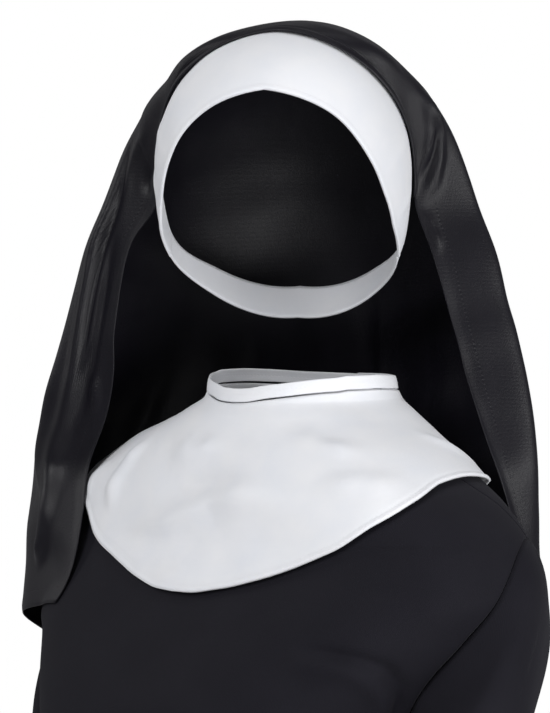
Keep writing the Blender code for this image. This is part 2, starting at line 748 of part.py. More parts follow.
def veil(material, collection):
    """The veil: a dome over the crown, sewn along the band, and one long fall round the back."""
    crown, fall = veil_rows()
    resting = (
        ("tunic_back", DRAPE_GAP),
        ("bib_collar", WHITE_CLOTH + COLLAR_DRAPE_GAP),
        ("sleeve_left", SLEEVE_GAP),
        ("sleeve_right", SLEEVE_GAP),
        ("tunic_front", FRONT_DRAPE_GAP),
    )
    under = [(laid_surface(name), gap) for name, gap in resting]
    points = [CROWN.copy()]
    for row in crown:
        points.extend(row)
    around = VEIL_COLUMNS + VEIL_SEAM_COLUMNS
    for row in fall:
        points.extend(clear_of(point, under) for point in row)
    faces = [(0, 1 + j, 1 + (j + 1) % around) for j in range(around)]
    for i in range(CROWN_ROWS - 1):
        for j in range(around):
            here = 1 + i * around
            k = (j + 1) % around
            faces.append((here + j, here + around + j, here + around + k, here + k))
    wide = VEIL_COLUMNS + 1
    upper = 1 + (CROWN_ROWS - 1) * around
    for i in range(FALL_ROWS):
        lower = 1 + CROWN_ROWS * around + i * wide
        for j in range(VEIL_COLUMNS):
            faces.append((upper + j, lower + j, lower + j + 1, upper + j + 1))
        upper = lower
    return make_cloth("veil", points, faces, CLOTH, True, material, collection)


def build():
    for old in list(bpy.data.objects):
        bpy.data.objects.remove(old, do_unlink=True)
    habit = bpy.data.collections.new("nun_habit")
    bpy.context.scene.collection.children.link(habit)
    jersey = finish("black_jersey", BLACK, 0.85, 0.3)
    satin = finish("black_veiling", BLACK, 0.45, 0.2)
    white = finish("white_cloth", WHITE, 0.75, 0.2)
    tunic_panel("tunic_front", True, jersey, habit)
    tunic_panel("tunic_back", False, jersey, habit)
    sleeve("sleeve_left", 1, jersey, habit)
    sleeve("sleeve_right", -1, jersey, habit)
    collar(white, habit)
    neckband(white, habit)
    head_strip("coif_band", -BAND_END, BAND_END, BAND_COLUMNS, 4, WHITE_CLOTH, white, habit)
    veil(satin, habit)
    gap = math.degrees(SEAM_GAP / 0.08)
    head_strip(
        "coif_strap", BAND_END + gap, 360.0 - BAND_END - gap, STRAP_COLUMNS, 1, CLOTH, white, habit
    )


build()
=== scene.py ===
"""Looks of the nun habit: the worn cloth, its folds, seams and hems, the light and the floor.

Metres, +Z up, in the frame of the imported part.  The wearer's front is -Y and the wearer's left is
+X.  A turn is an angle round the wearer in degrees, 0 at the front and 90 at the wearer's left.
"""

import logging
import math
from dataclasses import dataclass, field
from enum import Enum
from typing import Callable, Iterable, Sequence

import bpy
import numpy as np
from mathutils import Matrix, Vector
from mathutils.bvhtree import BVHTree


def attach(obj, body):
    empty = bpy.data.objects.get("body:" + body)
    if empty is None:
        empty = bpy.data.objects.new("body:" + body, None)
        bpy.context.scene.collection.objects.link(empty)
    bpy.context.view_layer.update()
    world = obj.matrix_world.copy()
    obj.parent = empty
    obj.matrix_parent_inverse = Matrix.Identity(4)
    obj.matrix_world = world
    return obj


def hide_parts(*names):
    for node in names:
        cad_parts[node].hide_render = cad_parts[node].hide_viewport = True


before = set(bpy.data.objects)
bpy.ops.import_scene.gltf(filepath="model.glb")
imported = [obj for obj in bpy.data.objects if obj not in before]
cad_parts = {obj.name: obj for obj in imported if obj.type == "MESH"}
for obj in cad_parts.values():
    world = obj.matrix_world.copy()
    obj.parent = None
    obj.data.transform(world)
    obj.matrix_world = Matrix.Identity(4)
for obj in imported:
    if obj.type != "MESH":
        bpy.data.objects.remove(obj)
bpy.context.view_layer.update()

LOG = logging.getLogger("nun_habit")

FULL_TURN = 2 * math.pi
VEIL_OVER_TUNIC = 0.0012  # space kept between the veil and the tunic's sheets
VEIL_OVER_COLLAR = 0.0030  # and between the veil and the collar's
TRACE_SPOTS = 48  # points on a crease's line
TRACE_ROUNDS = 6  # how often that line is smoothed
TRACE_ARC = 0.0025  # metres that one degree stands for on it
LAP_STEEP = 0.30  # width of a lapped crease's steep side, as a share of the crease's
LAP_GROOVE = 0.45  # depth of the groove under it, as a share of the crease's rise
LAP_GROOVE_AT = 0.55  # how far the groove lies from the line, in widths

Spots = np.ndarray  # points, one row of x, y and z each
Values = np.ndarray


# ---------------------------------------------------------------- tables of sizes


@dataclass(frozen=True)
class Girth:
    """Section of the body at one height; depths run from the centre line."""

    height: float
    half_width: float
    front: float
    back: float
    centre: float
    squareness: float


@dataclass(frozen=True)
class SeamSpot:
    """Turn of the shoulder and side seam at one height."""

    height: float
    turn: float


@dataclass(frozen=True)
class Flute:
    """Fold of the skirt that opens towards the hem."""

    turn: float
    half_width: float
    rise: float
    begins: float


@dataclass(frozen=True)
class ArmRing:
    """Ring of the left sleeve below the armhole."""

    out: float
    forward: float
    height: float
    radius: float
    rise: float


@dataclass(frozen=True)
class CollarEdge:
    """Heights of the collar's two edges at a turn."""

    turn: float
    seam: float
    hem: float


@dataclass(frozen=True)
class BandEdge:
    """Slant of the coif band's two edges at a place round the band, in degrees."""

    round: float
    front: float
    rear: float


@dataclass(frozen=True)
class VeilRow:
    """Section of the veil's fall and its two free edges at one height."""

    height: float
    half_width: float
    front: float
    back: float
    centre_x: float
    centre_y: float
    yaw: float
    squareness: float
    left_x: float
    left_y: float
    right_x: float
    right_y: float


@dataclass(frozen=True)
class VeilFold:
    """Long fold of the veil's fall, 0 at the left free edge and 1 at the right one."""

    at_ears: float
    at_hem: float
    half_width: float
    rise: float
    begins: float


@dataclass(frozen=True)
class DomeStep:
    """Half width of the veil's dome at a height, as shares of its width at the ears and its rise."""

    height: float
    out: float


@dataclass(frozen=True)
class BandPull:
    """Slight pull across the coif band: its place round it, its lean and its rise."""

    round: float
    lean: float
    rise: float


class SizeTable:
    """A table of sizes read at any place between its rows, smooth and with no overshoot."""

    def __init__(self, rows: Sequence[object], key: str) -> None:
        """Sort the rows by their key.

        Args:
            rows: frozen dataclass rows with number fields.
            key: the field that places a row.
        """
        self.rows = sorted(rows, key=lambda row: getattr(row, key))
        self.places = np.array([getattr(row, key) for row in self.rows])

    def at(self, name: str, place: Values | float) -> Values:
        """Read one column.

        Args:
            name: the column's field name.
            place: where to read it, one number or many.

        Returns:
            The column's values there.
        """
        values = np.array([getattr(row, name) for row in self.rows])
        spans = np.diff(self.places)
        slopes = np.diff(values) / spans
        bends = np.concatenate([slopes[:1], np.zeros(len(slopes) - 1), slopes[-1:]])
        before, after = slopes[:-1], slopes[1:]
        same = before * after > 0
        bends[1:-1][same] = (2 * before * after)[same] / (before + after)[same]
        spot = np.clip(place, self.places[0], self.places[-1])
        i = np.clip(np.searchsorted(self.places, spot, side="right") - 1, 0, len(spans) - 1)
        t = (spot - self.places[i]) / spans[i]
        return (
            values[i] * (1 + 2 * t) * (1 - t) ** 2
            + values[i + 1] * t * t * (3 - 2 * t)
            + spans[i] * (bends[i] * t * (1 - t) ** 2 - bends[i + 1] * t * t * (1 - t))
        )


def blend(start: Values | float, end: Values | float, t: Values | float) -> Values:
    """The value a share t of the way from start to end."""
    return start + (end - start) * t


def ease_in(t: Values | float) -> Values:
    """Smooth step from 0 to 1."""
    t = np.clip(t, 0.0, 1.0)
    return t * t * (3 - 2 * t)


def stack(x: Values | float, y: Values | float, z: Values | float) -> Spots:
    """Points from their three coordinates."""
    return np.stack(np.broadcast_arrays(x, y, z), axis=-1).astype(float)


def unit(vectors: Spots) -> Spots:
    """Vectors of length one."""
    return vectors / np.maximum(np.linalg.norm(vectors, axis=-1, keepdims=True), 1e-12)


def mirrored_turn(turn: Values | float) -> Values:
    """The same place on the wearer's left half, 0 to 180 degrees."""
    return np.abs((np.asarray(turn, float) + 180.0) % 360.0 - 180.0)


def runs(spots: Spots, axis: int) -> Values:
    """Distances along the cloth of a grid of points.

    Args:
        spots: the grid, rows by columns by three.
        axis: 0 to measure down each column, 1 to measure across each row.

    Returns:
        The distance of each point from the first row or column.
    """
    steps = np.linalg.norm(np.diff(spots, axis=axis), axis=-1)
    start = np.zeros((1, spots.shape[1]) if axis == 0 else (len(spots), 1))
    return np.concatenate([start, np.cumsum(steps, axis=axis)], axis=axis)


def hump(place: Values, middle: float, half_width: float) -> Values:
    """A smooth hump of height 1 about a middle."""
    return np.exp(-(((place - middle) / half_width) ** 2))


# ---------------------------------------------------------------- forms the cloth hangs on


@dataclass(frozen=True)
class BodyForm:
    """The general figure under the tunic, from the neck to the hem."""

    girths: tuple[Girth, ...] = (
        Girth(0.0300, 0.0550, 0.0560, 0.0540, 0.000, 2.00),
        Girth(0.0120, 0.0565, 0.0570, 0.0560, 0.000, 2.00),
        Girth(0.0000, 0.0610, 0.0600, 0.0600, 0.000, 2.00),
        Girth(-0.0100, 0.0790, 0.0650, 0.0640, -0.002, 2.05),
        Girth(-0.0200, 0.1010, 0.0670, 0.0670, -0.005, 2.20),
        Girth(-0.0300, 0.1240, 0.0690, 0.0700, -0.009, 2.35),
        Girth(-0.0430, 0.1480, 0.0710, 0.0740, -0.012, 2.50),
        Girth(-0.0600, 0.1740, 0.0750, 0.0800, -0.014, 2.60),
        Girth(-0.0830, 0.1940, 0.0790, 0.0880, -0.015, 2.60),
        Girth(-0.1100, 0.2010, 0.0930, 0.0930, -0.015, 2.65),
        Girth(-0.1350, 0.1910, 0.1090, 0.0960, -0.015, 2.70),
        Girth(-0.1600, 0.1720, 0.1250, 0.0990, -0.015, 2.75),
        Girth(-0.1850, 0.1550, 0.1390, 0.1010, -0.014, 2.80),
        Girth(-0.2150, 0.1450, 0.1460, 0.1020, -0.013, 2.75),
        Girth(-0.2500, 0.1400, 0.1470, 0.1010, -0.012, 2.65),
        Girth(-0.3000, 0.1370, 0.1400, 0.0970, -0.010, 2.50),
        Girth(-0.4000, 0.1400, 0.1280, 0.1000, -0.004, 2.30),
        Girth(-0.5500, 0.1640, 0.1380, 0.1230, 0.000, 2.15),
        Girth(-0.7000, 0.1920, 0.1560, 0.1450, 0.000, 2.10),
        Girth(-1.0000, 0.2360, 0.1920, 0.1860, 0.000, 2.05),
        Girth(-1.3000, 0.2750, 0.2280, 0.2260, 0.000, 2.00),
    )
    middle_y: float = -0.015
    normal_turn: float = 0.6
    normal_step: float = 0.0015

    def spot(self, turn: Values | float, height: Values | float) -> Spots:
        """Points on the form.

        Args:
            turn: turns in degrees.
            height: heights in metres.

        Returns:
            The points.
        """
        sizes = SizeTable(self.girths, "height")
        side = np.sin(np.radians(turn))
        ahead = np.cos(np.radians(turn))
        power = sizes.at("squareness", height)
        depth = np.where(ahead > 0, sizes.at("front", height), sizes.at("back", height))
        wide = np.abs(side / sizes.at("half_width", height)) ** power
        reach = (wide + np.abs(ahead / depth) ** power) ** (-1.0 / power)
        return stack(reach * side, sizes.at("centre", height) - reach * ahead, height)

    def normal(self, turn: Values | float, height: Values | float) -> Spots:
        """Outward directions of the form at turns and heights."""
        along = self.spot(turn + self.normal_turn, height) - self.spot(
            turn - self.normal_turn, height
        )
        down = self.spot(turn, height - self.normal_step) - self.spot(
            turn, height + self.normal_step
        )
        return unit(np.cross(down, along))

    def point(self, turn: Values | float, height: Values | float, out: Values | float = 0.0) -> Spots:
        """Points moved out from the form along its own normals."""
        gap = np.asarray(out, float)[..., None]
        return self.spot(turn, height) + self.normal(turn, height) * gap


@dataclass(frozen=True)
class HeadForm:
    """The head under the coif band, turned to the wearer's left."""

    turn: float = 42.0
    centre: tuple[float, float, float] = (-0.0067, -0.0104, 0.149)
    half_width: float = 0.081
    front: float = 0.105
    back: float = 0.100
    up: float = 0.091
    down: float = 0.130
    tilt: float = 45.7

    def point(self, direction: Spots, out: Values | float = 0.0) -> Spots:
        """Points of the form along directions in the head's own axes.

        Args:
            direction: directions, with x to the head's left, y to its back and z up.
            out: distance off the form.

        Returns:
            The points in the part's frame.
        """
        depth = np.where(direction[..., 1] < 0, self.front, self.back)
        rise = np.where(direction[..., 2] > 0, self.up, self.down)
        half = np.stack(np.broadcast_arrays(self.half_width, depth, rise), axis=-1)
        spot = direction / np.linalg.norm(direction / half, axis=-1, keepdims=True)
        spot = spot + unit(spot / half**2) * np.asarray(out, float)[..., None]
        turn = math.radians(self.turn)
        left = np.array([math.cos(turn), math.sin(turn), 0.0])
        back = np.array([-math.sin(turn), math.cos(turn), 0.0])
        up = np.array([0.0, 0.0, 1.0])
        return np.array(self.centre) + spot @ np.stack([left, back, up])

    def round_band(self, place: Values, slant: Values) -> Spots:
        """Directions to places round the band, slanted off its middle line, in degrees."""
        tilt = math.radians(self.tilt)
        brow = np.array([0.0, -math.cos(tilt), math.sin(tilt)])
        axle = np.array([0.0, math.sin(tilt), math.cos(tilt)])
        side = np.array([1.0, 0.0, 0.0])
        place = np.radians(place)[..., None]
        lean = np.radians(slant)[..., None]
        flat = brow * np.cos(place) + side * np.sin(place)
        return flat * np.cos(lean) + axle * np.sin(lean)


# ---------------------------------------------------------------- cloth


class Lie(Enum):
    """How a crease lies in the cloth."""

    RIDGE = "ridge"
    TROUGH = "trough"
    LAPPED = "lapped"


@dataclass(frozen=True)
class Crease:
    """A listed fold: its way, its width and how it stands.

    The way passes turns in degrees and heights in metres, or, with on_cloth, places across and
    down the cloth in metres.
    """

    path: tuple[tuple[float, float], ...]
    width: float
    rise: float
    lie: Lie = Lie.RIDGE
    fade_in: float = 0.25
    fade_out: float = 0.25
    on_cloth: bool = False


@dataclass
class Sheet:
    """An open surface of cloth on its way to becoming a piece."""

    name: str
    points: Spots
    faces: np.ndarray
    cloth: np.ndarray  # place in the cloth, across and down, in metres
    hem: Values = field(default_factory=lambda: np.zeros(0))  # distance from the finished edges
    middle: Callable[[Values], np.ndarray] | None = None
    cloth_girth: float = 10.0  # cloth round a closed piece, or longer than an open one

    def normals(self) -> Spots:
        """Smooth outward directions at the points."""
        corners = self.points[self.faces]
        flat = np.cross(corners[:, 2] - corners[:, 0], corners[:, 3] - corners[:, 1])
        total = np.zeros_like(self.points)
        for k in range(4):
            np.add.at(total, self.faces[:, k], flat)
        return unit(total)

    def turns(self) -> Values:
        """Turn of each point about the sheet's upright middle line."""
        away = self.points[:, :2] - self._middles()
        return np.degrees(np.arctan2(away[:, 0], -away[:, 1]))

    def _middles(self) -> np.ndarray:
        """The middle line's x and y at each point's height."""
        if self.middle is None:
            return np.array([0.0, BodyForm().middle_y])
        return self.middle(self.points[:, 2])

    def lift(self, rise: Values) -> None:
        """Move the points out along their normals."""
        self.points = self.points + self.normals() * rise[:, None]

    def ends(self) -> tuple[np.ndarray, np.ndarray]:
        """Both ends of every edge of the grid."""
        first = self.faces.reshape(-1)
        second = np.roll(self.faces, -1, axis=1).reshape(-1)
        return first, second

    def soften(self, rounds: int, where: Values | None = None) -> None:
        """Relax the points towards their neighbours.

        Args:
            rounds: how many times.
            where: share of the move that each point takes, or all of it.
        """
        first, second = self.ends()
        count = np.bincount(first, minlength=len(self.points)) + np.bincount(
            second, minlength=len(self.points)
        )
        share = np.full(len(self.points), 0.5) if where is None else 0.5 * where
        share = share * (count >= 8)
        for _ in range(rounds):
            total = np.zeros_like(self.points)
            np.add.at(total, first, self.points[second])
            np.add.at(total, second, self.points[first])
            self.points += (total / np.maximum(count, 1)[:, None] - self.points) * share[:, None]

    def trace(self, path: Sequence[tuple[float, float]], spots: int, on_cloth: bool) -> Spots:
        """Lay a line on the sheet.

        Args:
            path: the turns in degrees and heights in metres that it passes, or its places on the
                cloth, across and down in metres.
            spots: how many points the line gets.
            on_cloth: whether the path is given on the cloth.

        Returns:
            The line's points.
        """
        guide = np.array(path, float)
        arc = 1.0 if on_cloth else TRACE_ARC
        lengths = np.concatenate(
            [[0.0], np.cumsum(np.hypot(np.diff(guide[:, 0]) * arc, np.diff(guide[:, 1])))]
        )
        at = np.linspace(0.0, lengths[-1], spots)
        turn = np.interp(at, lengths, guide[:, 0])
        height = np.interp(at, lengths, guide[:, 1])
        away = self.points[:, :2] - self._middles()
        reach = np.hypot(away[:, 0], away[:, 1])
        turns = self.turns()
        line = np.empty((spots, 3))
        half = self.cloth_girth / 2
        for k in range(spots):
            if on_cloth:
                around = (self.cloth[:, 0] - turn[k] + half) % self.cloth_girth - half
                down = self.cloth[:, 1] - height[k]
            else:
                around = np.radians((turns - turn[k] + 180.0) % 360.0 - 180.0) * reach
                down = self.points[:, 2] - height[k]
            line[k] = self.points[np.argmin(around**2 + down**2)]
        for _ in range(TRACE_ROUNDS):
            line[1:-1] = (line[:-2] + line[2:] + 2 * line[1:-1]) / 4
        return line

    def crease_rise(self, crease: Crease, out: Spots, seed: int) -> Values:
        """How far one crease moves each point out.

        Args:
            crease: the crease.
            out: the points' outward directions.
            seed: makes each crease uneven in its own way.

        Returns:
            The moves in metres.
        """
        line = self.trace(crease.path, TRACE_SPOTS, crease.on_cloth)
        starts, steps = line[:-1], np.diff(line, axis=0)
        low = line.min(axis=0) - 4 * crease.width
        high = line.max(axis=0) + 4 * crease.width
        near = np.flatnonzero(((self.points > low) & (self.points < high)).all(axis=1))
        rise = np.zeros(len(self.points))
        if not len(near):
            return rise
        away = self.points[near][:, None] - starts[None]
        share = np.clip((away * steps).sum(-1) / np.maximum((steps**2).sum(-1), 1e-12), 0, 1)
        gap = away - share[..., None] * steps
        distance = np.linalg.norm(gap, axis=-1)
        best = distance.argmin(axis=1)
        pick = np.arange(len(near))
        along = (best + share[pick, best]) / len(starts)
        offset = distance[pick, best] / crease.width
        side = np.sign((np.cross(steps[best], gap[pick, best]) * out[near]).sum(-1))
        noise = np.random.default_rng(seed)
        phase = noise.uniform(0, FULL_TURN, 3)
        uneven = 1 + 0.16 * np.sin(7 * along + phase[0]) + 0.10 * np.sin(17 * along + phase[1])
        spread = 1 + 0.18 * np.sin(5 * along + phase[2])
        tip_in = ease_in(along / max(crease.fade_in, 1e-6))
        tip_out = ease_in((1 - along) / max(crease.fade_out, 1e-6))
        soft = hump(offset, 0.0, spread)
        if crease.lie is Lie.TROUGH:
            shape = -soft
        elif crease.lie is Lie.LAPPED:
            steep = hump(offset, 0.0, LAP_STEEP * spread)
            groove = LAP_GROOVE * hump(offset, LAP_GROOVE_AT, LAP_STEEP)
            shape = np.where(side > 0, soft, steep - groove)
        else:
            shape = soft
        rise[near] = crease.rise * shape * uneven * tip_in * tip_out
        return rise

    def fold(self, creases: Iterable[Crease], seed: int) -> None:
        """Press creases into the sheet, all measured on its plain form."""
        out = self.normals()
        total = np.zeros(len(self.points))
        for number, crease in enumerate(creases):
            total += self.crease_rise(crease, out, seed + number)
        self.points = self.points + out * total[:, None]

    def smooth_rim(self, rounds: int, where: Values) -> None:
        """Relax the open edges along themselves.

        Args:
            rounds: how many times.
            where: share of the move that each point takes.
        """
        first, second = self.ends()
        both = np.sort(np.stack([first, second], axis=1), axis=1)
        pairs, count = np.unique(both, axis=0, return_counts=True)
        rim = pairs[count == 1]
        ends = np.concatenate([rim, rim[:, ::-1]])
        met = np.bincount(ends[:, 0], minlength=len(self.points))
        share = 0.5 * where * (met == 2)
        for _ in range(rounds):
            total = np.zeros_like(self.points)
            np.add.at(total, ends[:, 0], self.points[ends[:, 1]])
            self.points += (total / np.maximum(met, 1)[:, None] - self.points) * share[:, None]

    def ripple(self, rise: float, length: float, seed: int, rounds: int = 7) -> None:
        """Give the cloth slight waves in all directions, so that no stretch is quite smooth.

        Args:
            rise: their rough height.
            length: their rough length.
            seed: fixes their places.
            rounds: how many waves lie over each other.
        """
        noise = np.random.default_rng(seed)
        total = np.zeros(len(self.points))
        for _ in range(rounds):
            way = unit(noise.normal(size=3)) * FULL_TURN / (length * noise.uniform(0.7, 1.6))
            bend = unit(noise.normal(size=3)) * FULL_TURN / (length * 2.3)
            swing = np.sin(self.points @ bend + noise.uniform(0, 6)) * 1.4
            total += np.sin(self.points @ way + swing + noise.uniform(0, 6))
        self.lift(total * rise / math.sqrt(rounds))

    def clear_of(
        self, laid: Sequence[tuple["Sheet", float]], deepest: float = 0.012, rounds: int = 3
    ) -> None:
        """Move the points out until they stand clear of the sheets under them, and ease the rest
        of the cloth after them.

        Args:
            laid: each sheet under this one with the space kept above it.
            deepest: how far under a sheet a point may lie before it is left where it is.
            rounds: how many times the sheets are gone through.
        """
        trees = [(BVHTree.FromPolygons(s.points.tolist(), s.faces.tolist()), gap) for s, gap in laid]
        for number in range(rounds):
            before = self.points.copy()
            for tree, gap in trees:
                for k, spot in enumerate(self.points):
                    point = Vector(spot)
                    near, normal, _, distance = tree.find_nearest(point, deepest)
                    if near is None:
                        continue
                    height = (point - near).dot(normal)
                    if height < gap and abs(height) > 0.85 * distance:
                        self.points[k] = near + normal * gap
                    elif distance < gap and height > 0:
                        self.points[k] = near + (point - near).normalized() * gap
            moved = np.linalg.norm(self.points - before, axis=1) > 1e-6
            if number < rounds - 1 and moved.any():
                self.soften(3, self.spread(moved.astype(float), 6))

    def spread(self, share: Values, rounds: int) -> Values:
        """Spread a share at the points to their neighbours, fading as it goes."""
        first, second = self.ends()
        for _ in range(rounds):
            wider = share.copy()
            np.maximum.at(wider, first, share[second] * 0.8)
            np.maximum.at(wider, second, share[first] * 0.8)
            share = wider
        return share

    def piece(self, wall: float, outward: bool, material: bpy.types.Material) -> bpy.types.Object:
        """Make the sheet a piece of cloth with a real wall.

        Args:
            wall: the wall's thickness.
            outward: whether the wall grows outward from the sheet.
            material: the cloth's finish.

        Returns:
            The finished piece.
        """
        mesh = bpy.data.meshes.new(self.name)
        mesh.from_pydata(self.points.tolist(), [], self.faces.tolist())
        mesh.update()
        corners = self.faces.reshape(-1)
        weave = mesh.uv_layers.new(name="Weave")
        weave.data.foreach_set("uv", self.cloth[corners].astype(np.float32).reshape(-1))
        if len(self.hem):
            edge = mesh.uv_layers.new(name="Hem")
            pair = np.stack([self.hem[corners], np.zeros(len(corners))], axis=1)
            edge.data.foreach_set("uv", pair.astype(np.float32).reshape(-1))
        mesh.materials.append(material)
        mesh.shade_smooth()
        made = bpy.data.objects.new(self.name, mesh)
        bpy.context.scene.collection.objects.link(made)
        solid = made.modifiers.new("Wall", "SOLIDIFY")
        solid.thickness = wall
        solid.offset = 1.0 if outward else -1.0
        bpy.ops.object.select_all(action="DESELECT")
        bpy.context.view_layer.objects.active = made
        made.select_set(True)
        bpy.ops.object.modifier_apply(modifier=solid.name)
        made.data.shade_smooth()
        made.select_set(False)
        return made


def grid_faces(rows: int, columns: int, around: bool = False) -> np.ndarray:
    """Faces of a grid seen from outside, with its rows running down and its columns turning left.

    Args:
        rows: how many rows of points.
        columns: how many columns of points.
        around: whether the last column joins the first.

    Returns:
        The faces, four point numbers each.
    """
    i, j = np.meshgrid(
        np.arange(rows - 1), np.arange(columns if around else columns - 1), indexing="ij"
    )
    k = (j + 1) % columns
    upper, lower = i * columns, (i + 1) * columns
    return np.stack([upper + j, lower + j, lower + k, upper + k], axis=-1).reshape(-1, 4)


def flow(rows: Spots, first_way: Spots, last: int, count: int, start: int = 0) -> Spots:
    """Rows of cloth between given rows, on smooth curves that pass through them.

    Args:
        rows: the given rows, rows by columns by three.
        first_way: direction in which each column leaves the first row.
        last: number of the given row at which to stop.
        count: how many new rows.
        start: number of the given row after which to begin.

    Returns:
        The new rows, the last of them on the given row where they stop.
    """
    steps = np.linalg.norm(np.diff(rows, axis=0), axis=-1).mean(axis=1)
    knots = np.concatenate([[0.0], np.cumsum(steps)])
    ways = np.empty_like(rows)
    slopes = np.diff(rows, axis=0) / steps[:, None, None]
    before, after = steps[:-1, None, None], steps[1:, None, None]
    ways[1:-1] = (slopes[:-1] * after + slopes[1:] * before) / (before + after)
    ways[0], ways[-1] = first_way, slopes[-1]
    at = np.linspace(knots[start], knots[last], count + 1)[1:]
    i = np.clip(np.searchsorted(knots, at, side="left") - 1, 0, len(steps) - 1)
    t = ((at - knots[i]) / steps[i])[:, None, None]
    span = steps[i][:, None, None]
    return (
        rows[i] * (1 + 2 * t) * (1 - t) ** 2
        + rows[i + 1] * t * t * (3 - 2 * t)
        + span * (ways[i] * t * (1 - t) ** 2 - ways[i + 1] * t * t * (1 - t))
    )


def cloth_places(spots: Spots) -> np.ndarray:
    """Places in the cloth for a grid of points, measured along its rows and its columns.

    Args:
        spots: the grid, rows by columns by three.

    Returns:
        Across and down in metres for each point, as one list.
    """
    wide = np.linalg.norm(np.diff(spots, axis=1), axis=-1).mean(axis=0)
    across = np.broadcast_to(np.concatenate([[0.0], np.cumsum(wide)]), spots.shape[:2])
    return np.stack([across, runs(spots, 0)], axis=-1).reshape(-1, 2)


# ---------------------------------------------------------------- shader tools


class Wire:
    """A shader socket that takes part in plain arithmetic."""

    def __init__(self, dye: "Dye", socket: bpy.types.NodeSocket) -> None:
        """Wrap one output socket of a material."""
        self.dye = dye
        self.socket = socket

    def _math(self, operation: str, *values: "Wire | float", clamp: bool = False) -> "Wire":
        """One Math node on these values."""
        node = self.dye.node(
            "ShaderNodeMath",
            {"operation": operation, "use_clamp": clamp},
            dict(enumerate(values)),
        )
        return Wire(self.dye, node.outputs[0])

    def __add__(self, other: "Wire | float") -> "Wire":
        """Sum."""
        return self._math("ADD", self, other)

    __radd__ = __add__

    def __sub__(self, other: "Wire | float") -> "Wire":
        """Difference."""
        return self._math("SUBTRACT", self, other)

    def __mul__(self, other: "Wire | float") -> "Wire":
        """Product."""
        return self._math("MULTIPLY", self, other)

    __rmul__ = __mul__

    def sine(self) -> "Wire":
        """Sine."""
        return self._math("SINE", self)

    def size(self) -> "Wire":
        """Value without its sign."""
        return self._math("ABSOLUTE", self)

    def below(self, limit: float) -> "Wire":
        """1 where the value is below the limit, else 0."""
        return self._math("LESS_THAN", self, limit)

    def clamped(self) -> "Wire":
        """Value kept from 0 to 1."""
        return self._math("ADD", self, 0.0, clamp=True)


@dataclass(frozen=True)
class StitchLine:
    """A line of stitches: its distance from the edge, half its width and the stitches' pitch."""

    from_edge: float
    half_width: float
    pitch: float


class Dye:
    """Builds the nodes of one material."""

    def __init__(self, name: str) -> None:
        """Start a Principled material of this name."""
        self.material = bpy.data.materials.new(name)
        self.material.use_nodes = True
        self.tree = self.material.node_tree
        self.shader = self.tree.nodes["Principled BSDF"]

    def node(
        self, kind: str, settings: dict[str, object], inputs: dict[str | int, object]
    ) -> bpy.types.Node:
        """Add one node.

        Args:
            kind: the node's type.
            settings: its properties, set first.
            inputs: values or wires of its sockets, by name or number.

        Returns:
            The node.
        """
        made = self.tree.nodes.new(kind)
        for name, value in settings.items():
            setattr(made, name, value)
        for name, value in inputs.items():
            if isinstance(value, Wire):
                self.tree.links.new(value.socket, made.inputs[name])
            else:
                made.inputs[name].default_value = value
        return made

    def uv(self, layer: str) -> tuple[Wire, Wire]:
        """The two coordinates of a UV layer."""
        place = self.node("ShaderNodeUVMap", {"uv_map": layer}, {})
        split = self.node("ShaderNodeSeparateXYZ", {}, {0: Wire(self, place.outputs[0])})
        return Wire(self, split.outputs[0]), Wire(self, split.outputs[1])

    def object_place(self) -> Wire:
        """Object coordinates."""
        return Wire(self, self.node("ShaderNodeTexCoord", {}, {}).outputs["Object"])

    def cloud(self, scale: float, detail: float = 3.0, stretch: Sequence[float] = (1, 1, 1)) -> Wire:
        """Soft noise on Object coordinates.

        Args:
            scale: clouds per metre.
            detail: how many finer layers it has.
            stretch: scale along each axis.

        Returns:
            The noise, about 0.5.
        """
        mapped = self.node(
            "ShaderNodeMapping", {}, {"Vector": self.object_place(), "Scale": tuple(stretch)}
        )
        made = self.node(
            "ShaderNodeTexNoise",
            {},
            {"Vector": Wire(self, mapped.outputs[0]), "Scale": scale, "Detail": detail},
        )
        return Wire(self, made.outputs[0])

    def mix(self, share: Wire, first: Sequence[float], second: Sequence[float]) -> Wire:
        """A colour between two, by a share."""
        made = self.node(
            "ShaderNodeMix",
            {"data_type": "RGBA"},
            {"Factor": share},
        )
        made.inputs[6].default_value = (*first, 1.0)
        made.inputs[7].default_value = (*second, 1.0)
        return Wire(self, made.outputs[2])

    def threads(self, run: Wire, pitch: float) -> Wire:
        """Even threads or loops across a run of cloth, from 0 to 1."""
        return (run * (FULL_TURN / pitch)).sine() * 0.5 + 0.5

    def stitches(self, edge: Wire, run: Wire, line: "StitchLine") -> Wire:
        """A line of stitches beside a finished edge.

        Args:
            edge: distance from the edge.
            run: distance along it.
            line: where the stitches lie and how long they are.

        Returns:
            Where the thread shows, from 0 to 1.
        """
        return (edge - line.from_edge).size().below(line.half_width) * self.threads(run, line.pitch)

    def bump(self, height: Wire, depth: float) -> Wire:
        """A bump from a height.

        Args:
            height: the height, 0 to 1.
            depth: metres that 1 stands for.

        Returns:
            The bent normal.
        """
        inputs = {"Height": height, "Distance": depth, "Strength": 1.0}
        return Wire(self, self.node("ShaderNodeBump", {}, inputs).outputs[0])

    def dress(self, sockets: dict[str, object]) -> bpy.types.Material:
        """Set or link the shader's own sockets.

        Args:
            sockets: values or wires by socket name.

        Returns:
            The finished material.
        """
        for name, value in sockets.items():
            if isinstance(value, Wire):
                self.tree.links.new(value.socket, self.shader.inputs[name])
            else:
                self.shader.inputs[name].default_value = value
        return self.material


